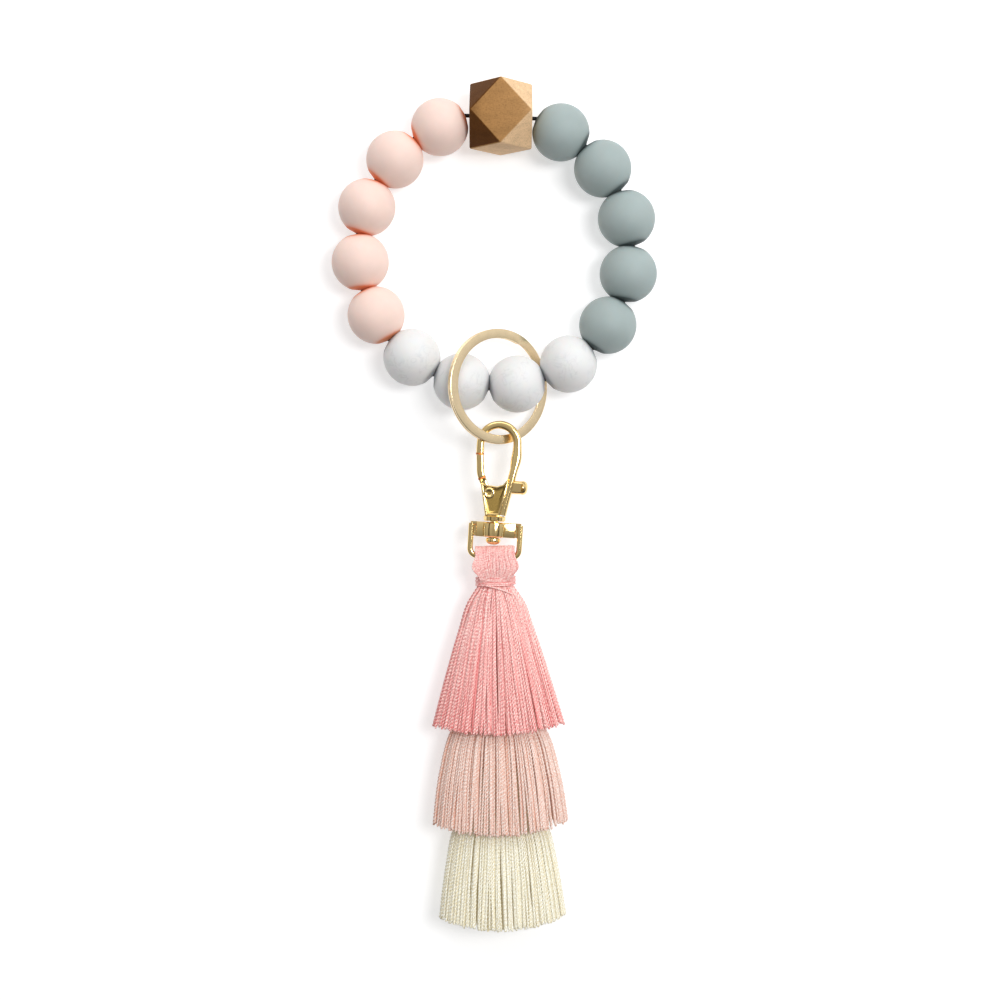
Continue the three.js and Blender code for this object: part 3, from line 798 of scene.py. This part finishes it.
def build_hook(looks, matrix):
    """One casting: the wire over the ring, the spine, the collar and the tip that the gate shuts against."""
    body = BODIES["hook_body"]
    spine = [(1.9, COLLAR_TOP_Y + 0.2, 0), (2.4, -17.5, 0), (3.2, -13.6, 0), (4.15, -9, 0), (4.75, -5, 0)]
    over = [(x, y, 0) for x, y in arc((0, HOOK_CENTRE_Y), HOOK_MIDDLE_RADIUS, 0, 180, 12)]
    tip = [(-HOOK_MIDDLE_RADIUS, -3.2, 0), (-HOOK_MIDDLE_RADIUS + 0.05, HOOK_TIP_Y, 0)]
    path = smooth_path([*spine, *over, *tip], 5)
    wire = sweep(path, rounded_section(*HOOK_SECTION), [hook_scales(point) for point in path])
    collar = lathe([(COLLAR_BOTTOM_Y, 0.1), (COLLAR_BOTTOM_Y, 2.6), (COLLAR_BOTTOM_Y + 0.2, 2.85),
                    (COLLAR_TOP_Y - 0.25, 2.9), (COLLAR_TOP_Y - 0.05, 2.6), (COLLAR_TOP_Y, 0.1)], 48)
    # A band of painted shade and reflection where the gate shuts against the tip.
    shade_band_path = [(-HOOK_MIDDLE_RADIUS, HOOK_TIP_Y + 0.3, 0), (-HOOK_MIDDLE_RADIUS, HOOK_TIP_Y - 0.19, 0)]
    shade_band = sweep(shade_band_path, rounded_section(1.06, 1.09, 0.7, 5))
    add_piece("hook_tip_gap_shade", [shade_band], looks["shadow_gold"], matrix, body, "gold")
    add_piece("hook", [wire, collar], looks["gold"], matrix, body, "gold", "hook_body")
    for side, name in ((1, "front"), (-1, "back")):
        build_cheek(name, side, looks, matrix)


def build_cheek(name, side, looks, matrix):
    """A plate of the casting's body: a raised round rim, and a recess inside it with painted shade."""
    outline = [(-2.5, COLLAR_TOP_Y - 0.1), (1.3, COLLAR_TOP_Y - 0.1), (2.2, -16.5), (3.0, BODY_TOP_Y + 1.4),
               (1.7, BODY_TOP_Y - 0.2), (0.2, BODY_TOP_Y - 0.75), (-2.0, BODY_TOP_Y - 0.55),
               (-4.15, BODY_TOP_Y - 0.1)]
    low = CHEEK_INNER
    top = BODY_HALF + 0.05
    recess = BODY_HALF - 0.3
    rim = [(0.1, low), (0, low + 0.1), (0, top - 0.18), (0.06, top - 0.05), (0.2, top), (0.42, top),
           (0.52, top - 0.05), (0.6, recess + 0.05), (0.68, recess), (1.4, recess)]
    vertices, faces = stepped_plate(outline, rim)
    vertices = [(x, y, side * z) for x, y, z in vertices]
    body = BODIES["hook_body"]
    cheek = add_piece("cheek_" + name, [(vertices, faces)], looks["gold"], matrix, body, "gold")
    cheek.data.materials.append(looks["recess_shade_gold"])
    to_clasp = matrix.inverted()
    # The recess's floor takes the painted shade.
    for polygon in cheek.data.polygons:
        height = abs((to_clasp @ polygon.center).z)
        if abs(height - recess) < 0.02 and len(polygon.vertices) >= 4:
            polygon.material_index = 1


def build_gate(looks, matrix):
    """The gate arm, its hub between the cheeks, and the thumb tab on the other side."""
    body = BODIES["gate_lever"]
    path = smooth_path([(-4.75, HOOK_TIP_Y - 0.2, 0), (-4.55, -7, 0), (-4.3, -9.6, 0), (-3.5, -11.6, 0),
                        (-2.6, -13.4, 0), (RIVET_X, RIVET_Y, 0)], 6)
    scales = []
    for point in path:
        width = 1 - 0.1 * float(smoothstep(-point.y, 11, 14))
        thickness = 1 - 0.5 * float(smoothstep(-point.y, 10.4, 11.6))
        scales.append((width, thickness))
    arm = sweep(path, rounded_section(0.95, 1.0, 0.5, 4), scales)
    # A band of painted shade and reflection at the step where the arm thins.
    shade_band = sweep([(-4.0, -10.6, 0), (-3.82, -11.0, 0)], rounded_section(1.02, 0.98, 0.5, 4))
    add_piece("gate_step_shade", [shade_band], looks["shadow_gold"], matrix, body, "gold")
    vertices, faces = lathe([(-0.5, 0.05), (-0.5, 1.8), (0.5, 1.8), (0.5, 0.05)], 32)
    hub = ([(x + RIVET_X, z + RIVET_Y, y) for x, y, z in vertices], faces)
    stem_path = smooth_path([(RIVET_X, RIVET_Y, 0), (1.6, -13.7, 0), (4.6, TAB_Y, 0)], 6)
    stem = sweep(stem_path, rounded_section(0.8, 0.5, 0.3))
    profile = [(3.9, 0.05), (3.9, 1.55), (4.05, 1.75), (6.4, 1.75), (6.9, 1.85), (7.5, 1.7), (7.9, 1.3),
               (8.1, 0.7), (8.15, 0.05)]
    flat_end = 6.7
    vertices, faces = lathe(profile, 40)
    tab = [(along, TAB_Y + x, min(z, TAB_FLAT) if along < flat_end else z) for x, along, z in vertices]
    add_piece("gate", [arm, hub, stem, (tab, faces)], looks["gold"], matrix, body, "gold", "gate_lever")


def build_rivet_and_spring(looks, matrix):
    """A tubular rivet through both cheeks, and the flat coil that shuts the gate."""
    top = BODY_HALF + 0.35
    half = [(BODY_HALF - 0.5, 0.75), (BODY_HALF - 0.1, 0.8), (BODY_HALF - 0.08, 1.4), (top - 0.12, 1.4),
            (top, 1.22), (top, 0.95), (top - 0.1, 0.7), (top - 0.3, 0.45), (top - 0.8, 0.38)]
    profile = [(-y, radius) for y, radius in half[::-1]] + half
    vertices, faces = lathe([*profile, profile[0]], 40)
    rivet = [(x + RIVET_X, z + RIVET_Y, y) for x, y, z in vertices]
    body = BODIES["lever_rivet"]
    add_piece("rivet", [(rivet, faces)], looks["gold"], matrix, body, "antique_gold", "lever_rivet")
    coil = []
    turns = 1.7
    steps = 60
    for i in range(steps + 1):
        angle = turns * FULL_TURN * i / steps
        radius = 1.15 + 0.6 * i / steps
        coil.append((RIVET_X + radius * math.cos(angle), RIVET_Y + radius * math.sin(angle), 0.58))
    spring = sweep(coil, rounded_section(0.12, 0.12, 0.11))
    body = BODIES["lever_spring"]
    add_piece("spring", [spring], looks["steel"], matrix, body, "spring_steel", "lever_spring")


def build_post(looks, matrix):
    """The pin that the frame turns on, with its head below the crossbar."""
    head_top = CROSSBAR_BOTTOM_Y - 0.2
    profile = [(head_top - 1.75, 0.05), (head_top - 1.7, 0.9), (head_top - 1.45, 1.5), (head_top - 1.0, 1.9),
               (head_top - 0.5, 1.95), (head_top - 0.1, 1.85), (head_top, 1.6), (head_top + 0.1, 1.1),
               (COLLAR_BOTTOM_Y + 1.5, 1.1), (COLLAR_BOTTOM_Y + 1.5, 0.05)]
    add_piece("swivel_pin", [lathe(profile, 40)], looks["gold"], matrix, BODIES["swivel_post"], "gold",
              "swivel_post")


def crossbar_lug(side):
    """A crossbar's end by the frame's arm: a flat strip, and a thinner one behind it."""
    low, high = sorted((FRAME_SHIFT + side * 4.9, FRAME_SHIFT + side * 6.6))
    upper = [(low, CROSSBAR_TOP_Y - 0.9), (high, CROSSBAR_TOP_Y - 0.9), (high, CROSSBAR_TOP_Y),
             (low, CROSSBAR_TOP_Y)]
    lower = [(low, CROSSBAR_BOTTOM_Y + 0.1), (high, CROSSBAR_BOTTOM_Y + 0.1), (high, CROSSBAR_TOP_Y - 0.5),
             (low, CROSSBAR_TOP_Y - 0.5)]
    return [stepped_plate(upper, [(0.2, -1.0), (0, -0.8), (0, 0.8), (0.2, 1.0)]),
            stepped_plate(lower, [(0.2, -1.0), (0, -0.8), (0, -0.4), (0.1, -0.3)])]


def build_frame(looks, matrix):
    """A crossbar with its boss, and one wire bent round as the two arms and the tassel's bar."""
    middle_y = (CROSSBAR_TOP_Y + CROSSBAR_BOTTOM_Y) / 2
    corner = FRAME_CORNER - FRAME_WIRE_HALF
    x = FRAME_HALF - FRAME_WIRE_HALF
    left = arc((-x + corner, BAR_Y + corner), corner, 180, 270, 8)
    right = arc((x - corner, BAR_Y + corner), corner, 270, 360, 8)
    route = [(-x, CROSSBAR_TOP_Y - 0.5), (-x, middle_y), (-x, CROSSBAR_BOTTOM_Y - 0.8), *left, *right,
             (x, CROSSBAR_BOTTOM_Y - 0.8), (x, middle_y), (x, CROSSBAR_TOP_Y - 0.5)]
    path = [(along + FRAME_SHIFT, y, 0) for along, y in route]
    arms = sweep(path, rounded_section(FRAME_WIRE_HALF, 1.1, 0.5))
    low = FRAME_SHIFT - CROSSBAR_HALF
    high = FRAME_SHIFT + CROSSBAR_HALF
    bar_outline = [(low, CROSSBAR_BOTTOM_Y), (high, CROSSBAR_BOTTOM_Y), (high, CROSSBAR_TOP_Y),
                   (low, CROSSBAR_TOP_Y)]
    bar_steps = [(0.35, -1.1), (0.1, -1.0), (0, -0.75), (0, 0.75), (0.1, 1.0), (0.35, 1.1)]
    crossbar = stepped_plate(bar_outline, bar_steps)
    profile = [(CROSSBAR_BOTTOM_Y - 0.02, 1.45), (CROSSBAR_BOTTOM_Y, 2.6), (CROSSBAR_BOTTOM_Y + 0.3, 3.0),
               (middle_y, 3.15), (CROSSBAR_TOP_Y - 0.3, 3.0), (CROSSBAR_TOP_Y, 2.6),
               (CROSSBAR_TOP_Y + 0.02, 1.45)]
    vertices, faces = lathe([*profile, profile[0]], 48)
    flattening = 0.85
    boss = ([(x, y, z * flattening) for x, y, z in vertices], faces)
    parts = [arms, crossbar, *crossbar_lug(-1), *crossbar_lug(1), boss]
    add_piece("frame", parts, looks["gold"], matrix, BODIES["tassel_frame"], "gold", "tassel_frame")


def build_clasp(looks):
    matrix = clasp_matrix()
    build_hook(looks, matrix)
    build_gate(looks, matrix)
    build_rivet_and_spring(looks, matrix)
    build_post(looks, matrix)
    build_frame(looks, matrix)


# ---- the tassel ----
# Its frame has the bar at the origin, and hangs down Y. Z is up from the table.
TASSEL_HEIGHT = 8.9
TIER_LENGTH = 38.4
NECK_BELOW_BAR = 7.8
HEM_HALF_THICKNESS = 9.3
THREAD_RADIUS = 0.39
HEAD_THREAD_RADIUS = 0.25
TWIST_PITCH = 1.9  # millimetres for one turn of the two plies
FINE_TWIST_PITCH = 1.3  # of the thread in the head and the wraps
GROOVE_SHADE = 0.95  # how much of the deep colour shows in the twist's grooves, as painted shade
CREST_HIGHLIGHT_SHARE = 0.38  # how far down from its crest a ply is painted lighter, as painted highlight
THREAD_PLY = 0.6  # how deep the twist's grooves are, as a share of the radius
TINT_SPREAD = 0.16  # how much one thread's tint differs from the next
WRAP_HALF_WIDTH = 5.05
WRAP_FLATNESS = 0.6
WRAP_TURNS = 6
WRAP_STEPS = 48  # to each turn
WRAP_PITCH = 0.37
HEM_FADES = (0.3, 0.0, 0.0)  # how much of the deep colour is added towards each tier's hem
TIER_NAMES = ("tier_1", "tier_2", "tier_3")
THREAD_SLOTS = ("rose_thread", "blush_thread", "cream_thread")
TIER_BELOW = (0, 26.1, 50.2)
# Each tier's half width at distances below its neck.
OUTLINES = (
    ((0, 4.8), (3.5, 7.2), (11, 9.9), (22, 13.3), (TIER_LENGTH, 18.0)),
    ((0, 4.8), (4, 8.4), (12.3, 13.0), (22, 15.7), (TIER_LENGTH, 18.1)),
    ((0, 4.8), (4, 8.4), (12.8, 12.5), (22, 14.5), (TIER_LENGTH, 16.9)),
)
# Layers of thread, each as its number of threads and its range of depth at the neck and at the hem.
OUTER_LAYER = (132, (0.25, 1.6), (0.1, 0.45))
SECOND_LAYER = (92, (0.6, 2.2), (0.5, 0.8))
LINING_LAYERS = ((74, (1.2, 2.4), (0.6, 0.85)),)
# The last tier is thread all through, since nothing hangs inside it.
CORE_LAYERS = (
    (66, (1.3, 2.5), (1.5, 2.0)),
    (58, (1.4, 2.6), (2.7, 3.2)),
    (46, (1.4, 2.6), (3.9, 4.4)),
    (36, (1.4, 2.6), (5.2, 5.7)),
    (26, (1.4, 2.6), (6.5, 7.2)),
    (14, (1.4, 2.6), (7.9, 8.6)),
)
# The top tier's head: each layer's radius over the bar, number of threads and half width.
HEAD_LAYERS = ((2.6, 66, 5.8), (2.35, 44, 5.7), (1.9, 28, 5.5))
HEAD_DROP = 6.1  # from the bar's level to where the head's threads end
HEAD_BULGE = 0.55


def outline_width(outline, below):
    """The half width at each distance below the neck: a smooth curve through the outline's points."""
    xs = np.array([point[0] for point in outline], float)
    ys = np.array([point[1] for point in outline], float)
    slopes = np.gradient(ys, xs)
    index = np.clip(np.searchsorted(xs, below, side="right") - 1, 0, len(xs) - 2)
    span = xs[index + 1] - xs[index]
    t = np.clip((below - xs[index]) / span, 0, 1)
    return curve_point(t, ys[index], slopes[index] * span, ys[index + 1], slopes[index + 1] * span)


def flatness(below, hem):
    """A tier's thickness over its width: round at the neck, flatter at the shoulder, fuller at the hem."""
    shoulder = WRAP_FLATNESS + (0.47 - WRAP_FLATNESS) * smoothstep(below, 0, 6)
    return shoulder + (HEM_HALF_THICKNESS / hem - shoulder) * smoothstep(below, 10, TIER_LENGTH)


def even_angles(count, wide, thick, random):
    """Angles that lie evenly round an ellipse, in small clumps."""
    fine = np.linspace(0, FULL_TURN, 2001)
    step = np.hypot(-wide * np.sin(fine), thick * np.cos(fine))
    around = np.concatenate([[0], np.cumsum((step[1:] + step[:-1]) / 2)])
    places = (np.arange(count) + 0.5) / count
    clump = 0.34 * np.sin(places * FULL_TURN * count / 2.7 + random.uniform(0, 6)) / count
    places = places + clump + random.normal(0, 0.16, count) / count
    return np.interp(places * around[-1], around, fine)


def thread_paths(outline, count, neck_depth, hem_depth, length, steps, random, start=-0.6):
    """Paths of threads from the neck to the hem, as an array of thread, step and x, y, z."""
    hem = outline[-1][1]
    angles = even_angles(count, hem, HEM_HALF_THICKNESS, random)
    depth_neck = random.uniform(*neck_depth, count)
    depth_hem = random.uniform(*hem_depth, count)
    lengths = length + random.normal(0, 0.22, count)
    share = np.linspace(0, 1, steps)
    drift = random.normal(0, 0.018, (count, 1)) * np.sin(share * math.pi)[None, :]
    wave = random.uniform(0, FULL_TURN, (count, 1))
    drift = drift + 0.006 * np.sin(wave + share[None, :] * random.uniform(3, 9, (count, 1)))
    reach = np.full(count, length, float)
    for _ in range(2):
        below = start + share[None, :] * (reach[:, None] - start)
        wide = outline_width(outline, np.maximum(below, 0))
        thick = wide * flatness(np.maximum(below, 0), hem)
        depth = depth_neck[:, None] + (depth_hem - depth_neck)[:, None] * smoothstep(below, 0, 16)
        angle = angles[:, None] + drift
        x = np.maximum(wide - depth, 0.2) * np.cos(angle)
        z = np.maximum(thick - depth, 0.15) * np.sin(angle)
        z = np.maximum(z, -TASSEL_HEIGHT + THREAD_RADIUS)
        points = np.stack([x, -below, z], axis=2)
        run = np.linalg.norm(np.diff(points, axis=1), axis=2).sum(axis=1)
        reach = start + (reach - start) * (lengths - start) / run
    return points


def tubes(paths, radius, random, ply=0.0, facing=None, pitch=TWIST_PITCH, sides=6, blunt=True, fade=0.0):
    """Tubes along the paths, of two twisted plies where ply is above 0, as (vertices, faces, groove).

    groove is how deep each vertex is in the twist, from 0 to 1, with fade added towards the far end.
    facing is the way each tube's first side faces at each point, or away from Y when it is left out.
    blunt tubes narrow at their ends.
    """
    count, steps, _ = paths.shape
    tangent = np.gradient(paths, axis=1)
    tangent /= np.linalg.norm(tangent, axis=2, keepdims=True)
    if facing is None:
        facing = paths * [1, 0, 1]
    side = np.cross(tangent, facing)
    side /= np.maximum(np.linalg.norm(side, axis=2, keepdims=True), 1e-9)
    out = np.cross(side, tangent)
    lengths = np.linalg.norm(np.diff(paths, axis=1), axis=2)
    along = np.concatenate([np.zeros((count, 1)), np.cumsum(lengths, axis=1)], axis=1)
    phase = random.uniform(0, FULL_TURN, (count, 1))
    angle = np.arange(sides) / sides * FULL_TURN
    lobes = np.cos(2 * (angle[None, None, :] - (phase + along * FULL_TURN / pitch)[:, :, None]))
    reach = radius * (1 - ply / 2 + ply / 2 * lobes)
    if blunt:
        reach[:, -1] *= 0.72
        reach[:, 0] *= 0.8
    points = (
        paths[:, :, None, :]
        + out[:, :, None, :] * (reach * np.cos(angle))[..., None]
        + side[:, :, None, :] * (reach * np.sin(angle))[..., None]
    )
    base = (np.arange(count)[:, None, None] * steps + np.arange(steps - 1)[None, :, None]) * sides
    j = np.arange(sides)[None, None, :]
    k = (j + 1) % sides
    quads = np.stack([base + j, base + k, base + sides + k, base + sides + j], axis=3).reshape(-1, 4)
    first = np.arange(count)[:, None] * steps * sides
    caps_start = first + np.arange(sides)[None, ::-1]
    caps_end = first + (steps - 1) * sides + np.arange(sides)[None, :]
    groove = (1 - lobes.reshape(-1)) / 2 if ply else np.full(count * steps * sides, 0.5)
    far = np.broadcast_to((along / along[:, -1:])[:, :, None], lobes.shape)
    groove = groove + fade * far.reshape(-1)
    faces = [*quads.tolist(), *caps_start.tolist(), *caps_end.tolist()]
    return points.reshape(-1, 3), faces, groove


def bundle(name, groups, material, random):
    """One piece from several (tubes, threads, base tint), each thread with its own tint, plus painted shade in the
    twist's grooves and painted highlight on the crests.
    """
    tints_and_shade = []
    for (vertices, _, groove), threads, base in groups:
        own = np.clip(random.normal(base, TINT_SPREAD, threads), 0, 1)
        own = np.repeat(own, len(vertices) // threads)
        # each thread's own tint, plus painted shade in the grooves and painted highlight on the crests
        tints_and_shade.append(np.clip(own + (groove - CREST_HIGHLIGHT_SHARE) * GROOVE_SHADE, 0, 1))
    vertices = np.concatenate([tube[0] for tube, _, _ in groups])
    faces = []
    start = 0
    for (tube_vertices, tube_faces, _), _, _ in groups:
        faces.extend([[start + index for index in face] for face in tube_faces])
        start += len(tube_vertices)
    attributes = {"tint": np.concatenate(tints_and_shade)}
    return mesh_object(name, vertices, faces, [material], math.radians(80), attributes)


def skirt(tier, looks, matrix):
    """The tier's hanging threads: a twisted outer layer and a second one, and plainer ones under them."""
    random = np.random.default_rng(40 + tier)
    outline = OUTLINES[tier]
    name = TIER_NAMES[tier]
    length = TIER_LENGTH - 0.2
    body = BODIES[name + "_threads"]
    slot = THREAD_SLOTS[tier]
    paths = thread_paths(outline, *OUTER_LAYER, length, 122, random)
    outer = tubes(paths, THREAD_RADIUS, random, THREAD_PLY, fade=HEM_FADES[tier])
    paths = thread_paths(outline, *SECOND_LAYER, length, 60, random)
    second = tubes(paths, THREAD_RADIUS, random, THREAD_PLY)
    # The base tints lean further to the darker colour the deeper a layer lies: painted shade inside the tier.
    cover = bundle(name + "_threads_outer", [(outer, OUTER_LAYER[0], 0.05)], looks[name], random)
    place(cover, matrix, body, slot, name + "_threads")
    groups = [(second, SECOND_LAYER[0], 0.1)]
    layers = LINING_LAYERS + CORE_LAYERS if name == "tier_3" else LINING_LAYERS
    for layer in layers:
        paths = thread_paths(outline, *layer, length - 0.3, 26, random)
        groups.append((tubes(paths, THREAD_RADIUS, random), layer[0], 0.3))
    lining = bundle(name + "_threads_inner", groups, looks[name], random)
    place(lining, matrix, body, slot)


def wrap_tail():
    """The path of the winding's loose end, down across the front."""
    share = np.linspace(0, 1, 40)
    angle = math.radians(118) - math.radians(76) * share
    wide = WRAP_HALF_WIDTH + 0.15 + 0.5 * share
    return np.stack([wide * np.cos(angle), 0.3 - 2.3 * share**1.4, wide * 0.62 * np.sin(angle)], axis=1)


def wrap(tier, looks, matrix):
    """Thread wound round the neck. The top tier's winding ends in a tail."""
    random = np.random.default_rng(60 + tier)
    name = TIER_NAMES[tier]
    turned = np.arange(WRAP_TURNS * WRAP_STEPS + 1)
    angle = FULL_TURN * turned / WRAP_STEPS + 0.6
    wide = WRAP_HALF_WIDTH + 0.06 * np.sin(angle * 0.37)
    y = 0.3 + WRAP_PITCH * turned / WRAP_STEPS
    coil = np.stack([wide * np.cos(angle), y, wide * WRAP_FLATNESS * np.sin(angle)], axis=1)
    winding = tubes(coil[None], 0.25, random, 0.3, pitch=FINE_TWIST_PITCH, sides=8)
    groups = [(winding, 1, 0.1)]
    if tier == 0:
        tail = tubes(wrap_tail()[None], 0.27, random, 0.35, pitch=FINE_TWIST_PITCH, sides=8)
        groups.append((tail, 1, 0.15))
    piece = bundle(name + "_binding", groups, looks[name], random)
    place(piece, matrix, BODIES[name + "_wrap"], THREAD_SLOTS[tier], name + "_wrap")


def head_width(y):
    """Half the width of the top tier's head at a height above the bar, over its half width on the bar."""
    y = np.asarray(y, float)
    return 0.86 + 0.16 * (1 - smoothstep(y, -2.4, 0.4)) - 0.34 * (1 - smoothstep(y, -6.0, -2.6))


def head_path(share, radius, base, random):
    """A thread's path over the bar, from its back end at share -1 to its front end at share 1."""
    reach = radius + random.uniform(-0.12, 0.1)
    angle = np.clip(share / 0.5, -1, 1) * math.pi / 2
    down = np.clip((np.abs(share) - 0.5) / 0.5, 0, 1)
    y = reach * np.cos(angle) - down * HEAD_DROP
    z = reach * np.sin(angle)
    z = np.sign(z) * (np.abs(z) + HEAD_BULGE * np.sin(np.pi * down) + down * (2.9 - reach) * 0.5)
    lean = random.normal(0, 0.12)
    x = base * head_width(y) + lean * np.sin(share * 2.2)
    return np.stack([x, y, z], axis=1)


def folded_head(looks, matrix):
    """Threads that run up from the neck, over the frame's bar and down again."""
    random = np.random.default_rng(7)
    share = np.linspace(-1, 1, 100)
    groups = []
    for layer, (radius, count, half) in enumerate(HEAD_LAYERS):
        paths = []
        for i in range(count):
            base = half * (2 * (i + 0.5) / count - 1) + random.normal(0, 0.05)
            paths.append(head_path(share, radius, base, random))
        paths = np.array(paths)
        across = np.zeros_like(paths)
        across[..., 0] = 1
        facing = np.cross(across, np.gradient(paths, axis=1))
        mesh = tubes(paths, HEAD_THREAD_RADIUS, random, THREAD_PLY, facing, FINE_TWIST_PITCH, blunt=False)
        # Deeper layers of the head lean further to the darker colour: painted shade.
        groups.append((mesh, count, 0.1 + 0.05 * layer))
    head = bundle("tier_1_head", groups, looks["tier_1"], random)
    place(head, matrix, BODIES["tier_1_threads"], "rose_thread")


def build_tassel(looks):
    origin = joint_place("tassel_swing")
    across = joint_axis("tier_2_swing")
    down = UP.cross(across)
    for tier, below in enumerate(TIER_BELOW):
        neck = origin - down * (NECK_BELOW_BAR + below) * MM
        matrix = axes_matrix(neck, across, down)
        skirt(tier, looks, matrix)
        wrap(tier, looks, matrix)
    folded_head(looks, axes_matrix(origin, across, down))


def keep_cad_node(node, material):
    """A CAD node that is shown as it is, with its look."""
    made = frame["nodes"][node]
    made.data.materials.clear()
    made.data.materials.append(material)


def main():
    add_camera()
    add_light()
    add_floor()
    looks = {
        "pink": silicone("pink_silicone", PINK, PINK_CONTACT_SHADE),
        "grey": silicone("grey_silicone", GREY, GREY_CONTACT_SHADE),
        "marble": marbled_silicone("marble_silicone"),
        "wood": oiled_wood(),
        "elastic": braided_elastic(),
        "gold": plated_gold("gold", GOLD, 0.11),
        "ring": plated_gold("ring_gold", RING_GOLD, 0.24),
        "recess_shade_gold": plated_gold("recess_shade_gold", RECESS_SHADE_GOLD, 0.3),
        "shadow_gold": plated_gold("shadow_gold", GAP_SHADE_GOLD, 0.45),
        "steel": spring_steel(),
        "tier_1": thread("rose_thread", ROSE, ROSE_DEEP_AND_SHADE, 0.08),
        "tier_2": thread("blush_thread", BLUSH, BLUSH_DEEP_AND_SHADE, 0.07),
        "tier_3": thread("cream_thread", CREAM, CREAM_DEEP_AND_SHADE, 0.09),
    }
    build_bracelet(looks)
    build_split_ring(looks)
    build_clasp(looks)
    build_tassel(looks)
    for tier in TIER_NAMES[1:]:
        keep_cad_node(tier + "_hanger", looks[tier])


main()
